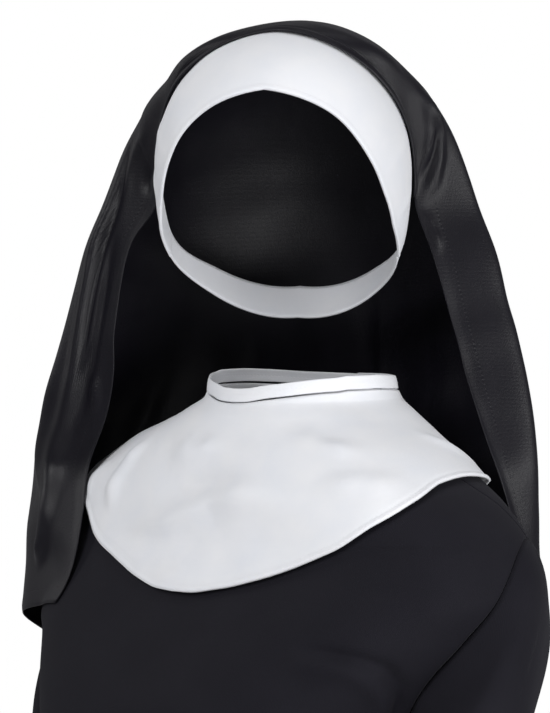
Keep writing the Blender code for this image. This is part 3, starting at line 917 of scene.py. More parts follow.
@dataclass(frozen=True)
class JerseyFinish:
    """Matte black knitted jersey: fine ribs of loops, a short nap and a soft sheen."""

    name: str = "black_jersey_cloth"
    deep: tuple[float, float, float] = (0.0088, 0.0083, 0.0124)
    worn: tuple[float, float, float] = (0.0118, 0.0112, 0.0160)
    roughness: float = 0.78
    wale: float = 0.0011
    loop: float = 0.0011 / 1.3
    hem_stitch: StitchLine = StitchLine(0.018, 0.0006, 0.0035)

    def material(self) -> bpy.types.Material:
        """Build the finish.

        Returns:
            The material.
        """
        dye = Dye(self.name)
        across, down = dye.uv("Weave")
        edge, _ = dye.uv("Hem")
        ribs = dye.threads(across, self.wale)
        loops = dye.threads(down, self.loop)
        nap = dye.cloud(900.0, 4.0)
        mottle = dye.cloud(26.0, 4.0)
        stitches = dye.stitches(edge, down, self.hem_stitch)
        height = ribs * 0.35 + loops * 0.25 + nap * 0.6 - stitches * 0.8
        return dye.dress(
            {
                "Base Color": dye.mix((mottle * 1.6 - 0.4).clamped(), self.deep, self.worn),
                "Roughness": (nap * 0.14 + (self.roughness - 0.07)),
                "Sheen Weight": 0.04,
                "Sheen Roughness": 0.5,
                "Sheen Tint": (0.75, 0.75, 0.82, 1.0),
                "Specular IOR Level": 0.11,
                "Normal": dye.bump(height, 0.00012),
            }
        )


@dataclass(frozen=True)
class VeilingFinish:
    """Smooth black veiling with a slight satin sheen and a fine grain."""

    name: str = "black_veiling_cloth"
    deep: tuple[float, float, float] = (0.0045, 0.0041, 0.0072)
    worn: tuple[float, float, float] = (0.0074, 0.0067, 0.0108)
    roughness: float = 0.40
    thread: float = 0.0009
    hem_stitch: StitchLine = StitchLine(0.011, 0.0005, 0.003)

    def material(self) -> bpy.types.Material:
        """Build the finish.

        Returns:
            The material.
        """
        dye = Dye(self.name)
        across, down = dye.uv("Weave")
        edge, _ = dye.uv("Hem")
        warp = dye.threads(across, self.thread)
        weft = dye.threads(down, self.thread)
        grain = dye.cloud(1000.0, 3.0)
        streak = dye.cloud(60.0, 4.0, (1.0, 1.0, 0.25))
        stitches = dye.stitches(edge, down, self.hem_stitch)
        height = warp * 0.20 + weft * 0.20 + grain * 0.8 - stitches * 0.8
        return dye.dress(
            {
                "Base Color": dye.mix((streak * 1.8 - 0.5).clamped(), self.deep, self.worn),
                "Roughness": (grain * 0.22 + streak * 0.10 + (self.roughness - 0.16)),
                "Sheen Weight": 0.05,
                "Sheen Roughness": 0.4,
                "Sheen Tint": (0.80, 0.78, 0.90, 1.0),
                "Specular IOR Level": 0.28,
                "Normal": dye.bump(height, 0.00016),
            }
        )


@dataclass(frozen=True)
class WhiteFinish:
    """White woven cloth in two layers: close threads, and a faint cool painted shade that a soft random
    mottle spreads over it in patches.
    """

    name: str = "white_woven_cloth"
    bright: tuple[float, float, float] = (0.89, 0.895, 0.925)
    # shaded is a painted cool shade of the white; the mottle lays it in random patches
    shaded: tuple[float, float, float] = (0.82, 0.84, 0.895)
    roughness: float = 0.72
    thread: float = 0.0007
    hem_stitch: StitchLine = StitchLine(0.0042, 0.0004, 0.0026)

    def material(self) -> bpy.types.Material:
        """Build the finish.

        Returns:
            The material.
        """
        dye = Dye(self.name)
        across, down = dye.uv("Weave")
        edge, _ = dye.uv("Hem")
        warp = dye.threads(across, self.thread)
        weft = dye.threads(down, self.thread)
        slub = dye.cloud(420.0, 4.0)
        mottle = dye.cloud(40.0, 3.0)
        stitches = dye.stitches(edge, across, self.hem_stitch)
        height = warp * 0.3 + weft * 0.3 + slub * 0.7 - stitches * 0.6
        return dye.dress(
            {
                # base colour: the white with its painted cool shade mixed in by random mottle
                "Base Color": dye.mix((mottle * 1.6 - 0.3).clamped(), self.shaded, self.bright),
                "Roughness": (slub * 0.16 + (self.roughness - 0.08)),
                "Sheen Weight": 0.15,
                "Sheen Roughness": 0.5,
                "Specular IOR Level": 0.25,
                "Normal": dye.bump(height, 0.00010),
            }
        )


# ---------------------------------------------------------------- sub-assemblies


class Held(Enum):
    """How a piece of cloth is held."""

    HUNG = "hung"
    LAID = "laid"
    STRETCHED = "stretched"
    DRAPED = "draped"


@dataclass(frozen=True)
class Cut:
    """The cloth that shows of one node: its flat size and area, how it is held and on what."""

    node: str
    width: float
    length: float
    area: float
    held: Held
    rests_on: tuple[str, ...]


def put_on(made: bpy.types.Object, cut: Cut) -> None:
    """Hang a piece of cloth on the root and hide the part that it stands for.

    Args:
        made: the piece.
        cut: the cloth that it is cut from.
    """
    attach(made, "root")
    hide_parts(cut.node)
    LOG.info("%s: %d faces", made.name, len(made.data.polygons))


@dataclass
class Tunic:
    """The long tunic: front and back panels from shoulder to hem, and two set-in sleeves."""

    body: BodyForm
    jersey: bpy.types.Material
    wall: float = 0.0011
    seam_gap: float = 0.0003
    hem_height: float = -1.300
    neckline_front: float = -0.052
    neckline_side: float = -0.022
    neckline_back: float = -0.034
    armhole_top: float = -0.077
    armhole_bottom: float = -0.215
    armhole_front_turn: float = 13.5
    armhole_back_turn: float = 13.0
    armhole_reach: float = 0.17
    armhole_squareness: float = 0.85
    armhole_gap: float = 0.0001
    front_columns: int = 148
    back_columns: int = 124
    yoke_rows: int = 26
    armhole_rows: int = 84
    skirt_rows: int = 124
    armhole_row_crowding: float = 0.3
    neck_ease: float = 1.5
    skirt_row_growth: float = 1.35
    column_crowding: float = 0.6
    flute_growth: float = 0.8
    side_seam: tuple[SeamSpot, ...] = (
        SeamSpot(-0.022, 90.0),
        SeamSpot(-0.077, 103.0),
        SeamSpot(-0.215, 87.0),
        SeamSpot(-0.450, 90.0),
        SeamSpot(-1.300, 90.0),
    )
    flutes: tuple[Flute, ...] = (
        Flute(-72.0, 11.0, 0.018, -0.34),
        Flute(-44.0, 12.0, 0.022, -0.30),
        Flute(-14.0, 12.0, 0.017, -0.42),
        Flute(17.0, 13.0, 0.022, -0.34),
        Flute(47.0, 11.0, 0.019, -0.30),
        Flute(74.0, 11.0, 0.016, -0.38),
        Flute(108.0, 12.0, 0.018, -0.32),
        Flute(138.0, 12.0, 0.022, -0.36),
        Flute(169.0, 13.0, 0.019, -0.30),
        Flute(-160.0, 12.0, 0.022, -0.38),
        Flute(-131.0, 12.0, 0.018, -0.32),
        Flute(-103.0, 11.0, 0.016, -0.40),
    )
    arm: tuple[ArmRing, ...] = (
        ArmRing(0.1830, 0.036, -0.238, 0.0400, 0.018),
        ArmRing(0.1850, 0.037, -0.290, 0.0405, 0.008),
        ArmRing(0.1910, 0.037, -0.340, 0.0400, 0.003),
        ArmRing(0.1970, 0.039, -0.385, 0.0400, 0.000),
        ArmRing(0.2080, 0.051, -0.450, 0.0390, 0.000),
        ArmRing(0.2230, 0.072, -0.530, 0.0380, 0.000),
        ArmRing(0.2390, 0.099, -0.630, 0.0370, 0.000),
    )
    sleeve_columns: int = 88
    cap_rows: int = 30
    arm_rows: int = 104
    cap_leave: float = 0.33
    cap_arrive: float = 0.36
    cap_out: float = 0.55
    cap_down: float = 0.45
    cap_underarm_down: float = 0.6
    cap_aim_ring: int = 12
    neck_hem: float = 0.006
    yoke_ease_rounds: int = 8
    yoke_ease_height: float = 0.009
    seam_roll: float = 0.00025
    seam_roll_width: float = 0.0014
    front_seed: int = 11
    back_seed: int = 41
    cuts: tuple[Cut, ...] = (
        Cut("tunic_front", 0.87, 1.33, 0.76, Held.HUNG, ("tunic_back",)),
        Cut("tunic_back", 0.87, 1.31, 0.72, Held.HUNG, ("tunic_front",)),
        Cut("sleeve_left", 0.29, 0.61, 0.124, Held.HUNG, ("tunic_front", "tunic_back")),
        Cut("sleeve_right", 0.29, 0.61, 0.124, Held.HUNG, ("tunic_front", "tunic_back")),
    )
    front_creases: tuple[Crease, ...] = (
        # the long pull that leaves the armhole and curves over the chest
        Crease(((49, -0.138), (57, -0.140), (63, -0.142), (69, -0.149), (74, -0.164), (75, -0.188)),
               0.0048, 0.0042, Lie.TROUGH, 0.35, 0.15),
        Crease(((47, -0.145), (55, -0.147), (61, -0.150), (66, -0.157), (70, -0.170), (71, -0.190)),
               0.0080, 0.0030, Lie.RIDGE, 0.35, 0.15),
        Crease(((40, -0.205), (30, -0.225), (18, -0.236)), 0.018, 0.0024, Lie.RIDGE, 0.4, 0.4),
        Crease(((-40, -0.205), (-28, -0.228), (-14, -0.240)), 0.018, 0.0022, Lie.RIDGE, 0.4, 0.4),
        Crease(((72, -0.205), (58, -0.225), (44, -0.232)), 0.010, 0.0026, Lie.LAPPED, 0.1, 0.5),
        Crease(((-72, -0.205), (-60, -0.226), (-46, -0.236)), 0.010, 0.0026, Lie.LAPPED, 0.1, 0.5),
        Crease(((-74, -0.172), (-64, -0.150), (-54, -0.142)), 0.007, 0.0020, Lie.RIDGE, 0.3, 0.5),
        Crease(((-60, -0.300), (-40, -0.345), (-18, -0.360)), 0.016, 0.0030, Lie.RIDGE, 0.3, 0.4),
        Crease(((62, -0.310), (40, -0.350), (22, -0.372)), 0.016, 0.0030, Lie.RIDGE, 0.3, 0.4),
        Crease(((78, -0.245), (56, -0.285), (30, -0.300)), 0.013, 0.0026, Lie.LAPPED, 0.2, 0.5),
        Crease(((-78, -0.250), (-58, -0.283), (-34, -0.305)), 0.013, 0.0026, Lie.LAPPED, 0.2, 0.5),
        Crease(((-30, -0.40), (-34, -0.62), (-42, -0.92)), 0.016, 0.0050, Lie.RIDGE, 0.4, 0.3),
        Crease(((6, -0.44), (4, -0.70), (0, -1.05)), 0.018, 0.0050, Lie.TROUGH, 0.4, 0.3),
        Crease(((33, -0.42), (33, -0.66), (31, -1.00)), 0.015, 0.0045, Lie.TROUGH, 0.4, 0.3),
    )
    back_creases: tuple[Crease, ...] = (
        Crease(((108, -0.205), (122, -0.228), (138, -0.236)), 0.012, 0.0028, Lie.LAPPED, 0.1, 0.5),
        Crease(((-108, -0.205), (-121, -0.230), (-136, -0.240)), 0.012, 0.0028, Lie.LAPPED, 0.1, 0.5),
        Crease(((112, -0.275), (132, -0.300), (152, -0.306)), 0.015, 0.0030, Lie.RIDGE, 0.2, 0.5),
        Crease(((-112, -0.280), (-130, -0.306), (-150, -0.312)), 0.015, 0.0030, Lie.RIDGE, 0.2, 0.5),
        Crease(((120, -0.350), (146, -0.368), (168, -0.362)), 0.014, 0.0032, Lie.RIDGE, 0.3, 0.4),
        Crease(((-118, -0.356), (-144, -0.372), (-164, -0.366)), 0.014, 0.0032, Lie.RIDGE, 0.3, 0.4),
        Crease(((150, -0.40), (152, -0.64), (155, -0.98)), 0.017, 0.0050, Lie.TROUGH, 0.4, 0.3),
        Crease(((-146, -0.42), (-146, -0.66), (-147, -1.00)), 0.017, 0.0050, Lie.TROUGH, 0.4, 0.3),
        Crease(((178, -0.38), (180, -0.60), (184, -0.95)), 0.017, 0.0045, Lie.RIDGE, 0.4, 0.3),
    )

    def neckline(self, turn: Values) -> Values:
        """Height of the neck edge at a turn."""
        ahead = np.cos(np.radians(turn))
        low = np.where(ahead > 0, self.neckline_front, self.neckline_back)
        return blend(self.neckline_side, low, ahead * ahead)

    def armhole(self, place: Values, ease: float = 0.0) -> tuple[Values, Values]:
        """The armhole edge.

        Args:
            place: 0 at the shoulder tip, 90 at the front, 180 under the arm, 270 at the back.
            ease: how far inside the hole.

        Returns:
            Turns and heights.
        """
        middle = (self.armhole_top + self.armhole_bottom) / 2
        half = (self.armhole_top - self.armhole_bottom) / 2 - ease
        reach = np.sin(np.radians(place))
        full = np.sign(reach) * np.abs(reach) ** self.armhole_squareness
        width = np.where(reach > 0, self.armhole_front_turn, self.armhole_back_turn)
        height = middle + half * np.cos(np.radians(place))
        turn = SizeTable(self.side_seam, "height").at("turn", height)
        return turn - full * (width - math.degrees(ease / self.armhole_reach)), height

    def side_turn(self, height: Values, front: bool) -> Values:
        """Turn of a panel's side edge: the armhole, or else the seam.

        Args:
            height: heights down the side.
            front: whether it is the front panel.

        Returns:
            The turns, for the wearer's left side.
        """
        half = (self.armhole_top - self.armhole_bottom) / 2
        level = (height - (self.armhole_top + self.armhole_bottom) / 2) / half
        middle = SizeTable(self.side_seam, "height").at("turn", height)
        width = SizeTable(self.body.girths, "height").at("half_width", height)
        seam = np.degrees(self.seam_gap / width)
        place = np.degrees(np.arccos(np.clip(level, -1.0, 1.0)))
        if front:
            hole = self.armhole(place)[0]
            return np.where(np.abs(level) < 1, np.minimum(hole, middle - seam), middle - seam)
        hole = self.armhole(360.0 - place)[0]
        return np.where(np.abs(level) < 1, np.maximum(hole, middle + seam), middle + seam)

    def flute_rise(self, turn: Values, height: Values) -> Values:
        """How far the skirt's flutes stand out."""
        rise = np.zeros(np.broadcast(turn, height).shape)
        for flute in self.flutes:
            grown = np.maximum(0.0, (flute.begins - height) / (flute.begins - self.hem_height))
            away = (turn - flute.turn + 180.0) % 360.0 - 180.0
            rise = rise + flute.rise * grown**self.flute_growth * hump(away, 0.0, flute.half_width)
        return rise

    def side_heights(self) -> Values:
        """Heights of a panel's rows down its side edge."""
        yoke = blend(
            self.neckline_side, self.armhole_top, np.arange(self.yoke_rows) / self.yoke_rows
        )
        share = np.arange(self.armhole_rows + 1) / self.armhole_rows
        level = blend(1.0 - 2.0 * share, np.cos(np.pi * share), self.armhole_row_crowding)
        hole = self.armhole(np.degrees(np.arccos(level)))[1]
        t = (np.arange(1, self.skirt_rows + 1) / self.skirt_rows) ** self.skirt_row_growth
        return np.concatenate([yoke, hole, blend(self.armhole_bottom, self.hem_height, t)])

    def panel(self, name: str, front: bool, columns: int) -> Sheet:
        """Lay out one panel on the body.

        Args:
            name: the piece's name.
            front: whether it is the front panel.
            columns: columns of faces.

        Returns:
            The plain sheet.
        """
        heights = self.side_heights()[:, None]
        edge = self.side_turn(heights, front)
        across = 1.0 - 2.0 * np.arange(columns + 1)[None] / columns
        across = blend(across, np.sin(math.pi / 2 * across), self.column_crowding)
        turn = -edge * across if front else 180.0 - (180.0 - edge) * across
        rows = np.arange(len(heights))[:, None]
        drop = np.maximum(0.0, 1.0 - rows / (self.yoke_rows * self.neck_ease))
        height = heights + (self.neckline(turn) - self.neckline_side) * drop
        away = stack(np.sin(np.radians(turn)), -np.cos(np.radians(turn)), 0.0)
        spots = self.body.point(turn, height) + away * self.flute_rise(turn, height)[..., None]
        points = spots.reshape(-1, 3)
        neck_edge = (height - self.neckline(turn)).reshape(-1)
        hem = np.minimum(np.abs(points[:, 2] - self.hem_height), np.abs(neck_edge) + self.neck_hem)
        return Sheet(name, points, grid_faces(*turn.shape), cloth_places(spots), hem)

    def sleeve(self, name: str, side: int) -> Sheet:
        """Lay out one sleeve: a cap out of the armhole, then the arm down to a plain cuff.

        Args:
            name: the piece's name.
            side: 1 for the wearer's left, -1 for the right.

        Returns:
            The plain sheet.
        """
        places = 360.0 * np.arange(self.sleeve_columns) / self.sleeve_columns
        start = self.body.point(*self.armhole(places, self.armhole_gap))
        rings = SizeTable(self.arm, "height")
        heights = np.linspace(self.arm[0].height, self.arm[-1].height, self.arm_rows + 1)[:, None]
        lift, reach = np.cos(np.radians(places)), np.sin(np.radians(places))
        radius = rings.at("radius", heights)
        arm = stack(
            rings.at("out", heights) + radius * lift,
            -rings.at("forward", heights) - radius * reach,
            heights + rings.at("rise", heights) * lift,
        )
        end, after = arm[0], arm[self.cap_aim_ring]
        under = 0.5 - 0.5 * np.cos(np.radians(places))
        out = unit(stack(self.cap_out, 0.0, -self.cap_down - self.cap_underarm_down * under))
        length = np.linalg.norm(end - start, axis=-1, keepdims=True)
        leave = start + out * length * self.cap_leave
        arrive = end + unit(end - after) * length * self.cap_arrive
        t = (np.arange(self.cap_rows) / self.cap_rows)[:, None, None]
        cap = (
            start * (1 - t) ** 3
            + leave * 3 * t * (1 - t) ** 2
            + arrive * 3 * t * t * (1 - t)
            + end * t**3
        )
        spots = np.concatenate([cap, arm])
        if side < 0:
            spots = spots[:, ::-1] * np.array([-1.0, 1.0, 1.0])
        spots = spots[:, ::-1]
        hem = np.abs(spots[..., 2] - self.arm[-1].height).reshape(-1)
        faces = grid_faces(spots.shape[0], spots.shape[1], around=True)
        return Sheet(name, spots.reshape(-1, 3), faces, cloth_places(spots), hem)

    def dress(self) -> dict[str, Sheet]:
        """Build the four pieces.

        Returns:
            The finished sheets by the node that each stands for.
        """
        laid = {
            "tunic_front": self.panel("tunic_front_cloth", True, self.front_columns),
            "tunic_back": self.panel("tunic_back_cloth", False, self.back_columns),
            "sleeve_left": self.sleeve("sleeve_left_cloth", 1),
            "sleeve_right": self.sleeve("sleeve_right_cloth", -1),
        }
        laid["tunic_front"].fold(self.front_creases, self.front_seed)
        laid["tunic_back"].fold(self.back_creases, self.back_seed)
        for node in ("tunic_front", "tunic_back"):
            near = hump(laid[node].points[:, 2], self.armhole_top, self.yoke_ease_height)
            laid[node].soften(self.yoke_ease_rounds, near)
        for node, sheet in laid.items():
            self.press_seams(node, sheet)
        return laid

    def press_seams(self, node: str, sheet: Sheet) -> None:
        """Roll each seam's edge in a little, as stitched cloth turns into its seam.

        Args:
            node: the node that the sheet stands for.
            sheet: the sheet, whose points move.
        """
        if node.startswith("sleeve"):
            rows = self.cap_rows + self.arm_rows + 1
            depth = runs(sheet.points.reshape(rows, -1, 3), 0).reshape(-1)
        else:
            columns = self.front_columns if node == "tunic_front" else self.back_columns
            run = runs(sheet.points.reshape(-1, columns + 1, 3), 1)
            depth = np.minimum(run, run[:, -1:] - run).reshape(-1)
        sheet.lift(-self.seam_roll * hump(depth, 0.0, self.seam_roll_width))

    def finish(self, laid: dict[str, Sheet]) -> None:
        """Give the pieces their walls and hand them to the frame."""
        for cut in self.cuts:
            put_on(laid[cut.node].piece(self.wall, False, self.jersey), cut)


@dataclass
class BibCollar:
    """The white bib collar and its narrow neckband, lapped at the back."""

    body: BodyForm
    white: bpy.types.Material
    wall: float = 0.0016
    lay_gap: float = 0.0026
    turn: float = 5.0
    neckband_height: float = 0.0085
    closure_lap: float = 9.0
    lap_slope: float = 34.0
    seam_gap: float = 0.0003
    lean: float = 0.0014
    fuller: float = 0.008
    fuller_turn: float = -56.0
    fuller_reach: float = 14.0
    columns: int = 420
    rows: int = 54
    neckband_rows: int = 10
    neckband_swell: float = 0.0006
    on_tunic: float = 0.0008
    deepest: float = 0.006
    roll_at: float = 0.0011
    roll_rise: float = 0.0008
    dip_at: float = 0.0042
    dip_half_width: float = 0.0013
    dip_depth: float = 0.0004
    wave_rise: float = 0.00035
    wave_length: float = 0.05
    crease_seed: int = 71
    wave_seed: int = 75
    cuts: tuple[Cut, ...] = (
        Cut("bib_collar", 0.36, 0.37, 0.070, Held.LAID, ("tunic_front", "tunic_back")),
        Cut("neckband", 0.42, 0.0105, 0.0034, Held.HUNG, ("bib_collar",)),
    )
    edges: tuple[CollarEdge, ...] = (
        CollarEdge(0.0, 0.000, -0.1165),
        CollarEdge(9.0, 0.0005, -0.1160),
        CollarEdge(22.0, 0.003, -0.1120),
        CollarEdge(36.0, 0.005, -0.1050),
        CollarEdge(47.0, 0.0065, -0.0960),
        CollarEdge(57.0, 0.0075, -0.0830),
        CollarEdge(65.0, 0.008, -0.0670),
        CollarEdge(73.0, 0.009, -0.0545),
        CollarEdge(82.0, 0.009, -0.0455),
        CollarEdge(92.0, 0.009, -0.0430),
        CollarEdge(112.0, 0.008, -0.0510),
        CollarEdge(140.0, 0.006, -0.078),
        CollarEdge(180.0, 0.005, -0.086),
    )
    creases: tuple[Crease, ...] = (
        Crease(((-49, -0.024), (-52, -0.037), (-51, -0.058), (-48, -0.077)),
               0.0060, 0.0034, Lie.RIDGE, 0.3, 0.4),
        Crease(((-62, -0.040), (-64, -0.055), (-58, -0.080)), 0.0050, 0.0016, Lie.RIDGE, 0.3, 0.4),
        Crease(((50, -0.012), (62, -0.022), (76, -0.029)), 0.0085, 0.0022, Lie.RIDGE, 0.4, 0.4),
        Crease(((58, -0.044), (70, -0.044), (82, -0.043)), 0.0085, 0.0020, Lie.RIDGE, 0.4, 0.4),
        Crease(((-40, -0.084), (-9, -0.075), (18, -0.058), (40, -0.053), (57, -0.058)),
               0.0095, 0.0050, Lie.RIDGE, 0.3, 0.3),
        Crease(((-30, -0.060), (8, -0.050), (34, -0.036)), 0.0090, 0.0024, Lie.TROUGH, 0.4, 0.4),
        Crease(((-34, -0.030), (-6, -0.030), (22, -0.020)), 0.0085, 0.0024, Lie.RIDGE, 0.4, 0.4),
        Crease(((-30, -0.106), (0, -0.106), (28, -0.101)), 0.0100, 0.0024, Lie.RIDGE, 0.4, 0.4),
        Crease(((100, -0.016), (112, -0.030), (118, -0.045)), 0.0060, 0.0016, Lie.RIDGE, 0.3, 0.4),
        Crease(((-104, -0.016), (-118, -0.032), (-124, -0.050)), 0.0060, 0.0018, Lie.RIDGE, 0.3, 0.4),
        Crease(((150, -0.020), (148, -0.045), (142, -0.070)), 0.0090, 0.0018, Lie.RIDGE, 0.3, 0.4),
        Crease(((-148, -0.022), (-150, -0.046), (-156, -0.072)), 0.0090, 0.0018, Lie.RIDGE, 0.3, 0.4),
    )

    def edge(self, name: str, turn: Values) -> Values:
        """Height of one of the collar's edges at a turn."""
        height = SizeTable(self.edges, "turn").at(name, mirrored_turn(turn - self.turn))
        if name == "hem":
            height = height - self.fuller * hump(turn, self.fuller_turn, self.fuller_reach)
        return height

    def lap_lift(self, turn: Values) -> Values:
        """How far the upper end rises over the under end at the back closure."""
        start = self.turn + 180.0 - self.closure_lap - self.lap_slope
        return (self.wall + self.lay_gap) * ease_in((turn - start) / self.lap_slope)

    def ring(self, name: str, rows: int, top: Callable, bottom: Callable) -> Sheet:
        """Lay a ring of cloth on the shoulders.

        Args:
            name: the piece's name.
            rows: rows of faces.
            top: height of its upper edge at a turn.
            bottom: height of its lower edge at a turn.

        Returns:
            The plain sheet.
        """
        half = 180.0 + self.closure_lap
        turn = np.linspace(self.turn - half, self.turn + half, self.columns + 1)[None]
        share = np.linspace(0.0, 1.0, rows + 1)[:, None]
        height = blend(top(turn), bottom(turn), share)
        turn = np.broadcast_to(turn, height.shape)
        spots = self.body.point(turn, height, self.lay_gap + self.lap_lift(turn))
        run, side = runs(spots, 0), runs(spots, 1)
        hem = np.minimum(run[-1:] - run, np.minimum(side, side[:, -1:] - side)).reshape(-1)
        return Sheet(name, spots.reshape(-1, 3), grid_faces(*height.shape), cloth_places(spots), hem)

    def dress(self, tunic: dict[str, Sheet]) -> dict[str, Sheet]:
        """Build the collar and the neckband.

        Args:
            tunic: the tunic's finished sheets, which the collar lies on.

        Returns:
            The finished sheets by node.
        """
        collar = self.ring(
            "bib_collar_cloth",
            self.rows,
            lambda turn: self.edge("seam", turn) - self.seam_gap - self.lean,
            lambda turn: self.edge("hem", turn),
        )
        collar.fold(self.creases, self.crease_seed)
        collar.ripple(self.wave_rise, self.wave_length, self.wave_seed)
        self.roll_hem(collar)
        under = [(tunic[node], self.on_tunic) for node in ("tunic_front", "tunic_back")]
        collar.clear_of(under, self.deepest, 1)
        band = self.ring(
            "neckband_cloth",
            self.neckband_rows,
            lambda turn: self.edge("seam", turn) + self.neckband_height,
            lambda turn: self.edge("seam", turn),
        )
        run = band.hem / self.neckband_height
        band.lift(self.neckband_swell * np.sin(np.clip(run, 0, 1) * math.pi))
        return {"bib_collar": collar, "neckband": band}

    def roll_hem(self, collar: Sheet) -> None:
        """Stand the turned outer edge up as a narrow roll with a shallow dip inside it."""
        roll = hump(collar.hem, self.roll_at, self.roll_at)
        dip = hump(collar.hem, self.dip_at, self.dip_half_width)
        collar.lift(self.roll_rise * roll - self.dip_depth * dip)

    def finish(self, laid: dict[str, Sheet]) -> None:
        """Give the pieces their walls and hand them to the frame."""
        for cut in self.cuts:
            put_on(laid[cut.node].piece(self.wall, True, self.white), cut)


@dataclass
class Coif:
    """The white band round the face, and the plain strap that closes it behind the head."""

    head: HeadForm
    white: bpy.types.Material
    wall: float = 0.0016
    strap_wall: float = 0.0013
    band_end: float = 118.0
    under_veil: float = 4.0
    under_veil_ends: float = 97.0
    under_veil_fade: float = 20.0
    seam_gap_turn: float = 0.215
    band_columns: int = 300
    band_rows: int = 46
    strap_columns: int = 90
    strap_rows: int = 10
    roll_at: float = 0.0012
    roll_rise: float = 0.0005
    wave_rise: float = 0.00022
    wave_length: float = 0.045
    wave_seed: int = 91
    pull_half_width: float = 3.2
    pull_fade: float = 1.1
    pulls: tuple[BandPull, ...] = (
        BandPull(-84.0, 10.0, 0.0009),
        BandPull(-62.0, 16.0, 0.0006),
        BandPull(70.0, -14.0, 0.0007),
        BandPull(94.0, -8.0, 0.0010),
    )
    cuts: tuple[Cut, ...] = (
        Cut("coif_band", 0.39, 0.075, 0.0213, Held.STRETCHED, ("coif_strap",)),
        Cut("coif_strap", 0.24, 0.026, 0.0052, Held.STRETCHED, ("coif_band",)),
    )
    edges: tuple[BandEdge, ...] = (
        BandEdge(0.0, -18.0, 18.0),
        BandEdge(27.0, -22.0, 14.5),
        BandEdge(54.0, -29.5, 12.0),
        BandEdge(73.0, -33.0, 8.0),
        BandEdge(90.0, -33.5, 0.5),
        BandEdge(105.0, -30.5, -6.5),
        BandEdge(118.0, -26.0, -12.0),
        BandEdge(150.0, -14.0, -2.0),
        BandEdge(180.0, -10.0, 2.0),
    )

    def edge(self, name: str, place: Values) -> Values:
        """Slant of one of the band's edges at a place round it."""
        return SizeTable(self.edges, "round").at(name, mirrored_turn(place))

    def strip(self, name: str, first: float, last: float, columns: int, rows: int) -> Sheet:
        """Lay a strip between the band's two edge lines.

        Args:
            name: the piece's name.
            first: place round the head where it begins.
            last: place where it ends.
            columns: columns of faces.
            rows: rows of faces.

        Returns:
            The plain sheet.
        """
        place = np.linspace(first, last, columns + 1)[None]
        hidden = self.under_veil * ease_in(
            (self.under_veil_ends - np.abs(place)) / self.under_veil_fade
        )
        rear = self.edge("rear", place) + hidden
        share = np.linspace(0.0, 1.0, rows + 1)[:, None]
        slant = blend(rear, self.edge("front", place), share)
        place = np.broadcast_to(place, slant.shape)
        spots = self.head.point(self.head.round_band(place, slant))
        run = runs(spots, 0)
        hem = (run[-1:] - run).reshape(-1)
        return Sheet(name, spots.reshape(-1, 3), grid_faces(*slant.shape), cloth_places(spots), hem)

    def dress(self) -> dict[str, Sheet]:
        """Build the band and the strap.

        Returns:
            The finished sheets by node.
        """
        end = self.band_end
        band = self.strip("coif_band_cloth", -end, end, self.band_columns, self.band_rows)
        shape = (self.band_rows + 1, self.band_columns + 1)
        place = np.broadcast_to(np.linspace(-end, end, shape[1]), shape)
        share = np.broadcast_to(np.linspace(0, 1, shape[0])[:, None], shape)
        rise = np.zeros(shape)
        for pull in self.pulls:
            away = place - pull.round - pull.lean * (share - 0.5)
            fade = np.sin(np.pi * np.clip(share * self.pull_fade, 0, 1))
            rise += pull.rise * hump(away, 0.0, self.pull_half_width) * fade
        band.lift(rise.reshape(-1))
        band.ripple(self.wave_rise, self.wave_length, self.wave_seed)
        band.lift(self.roll_rise * hump(band.hem, self.roll_at, self.roll_at))
        start = end + self.seam_gap_turn
        strap = self.strip(
            "coif_strap_cloth", start, 360 - start, self.strap_columns, self.strap_rows
        )
        return {"coif_band": band, "coif_strap": strap}

    def finish(self, laid: dict[str, Sheet]) -> None:
        """Give the pieces their walls and hand them to the frame."""
        for cut, wall in zip(self.cuts, (self.wall, self.strap_wall)):
            put_on(laid[cut.node].piece(wall, True, self.white), cut)


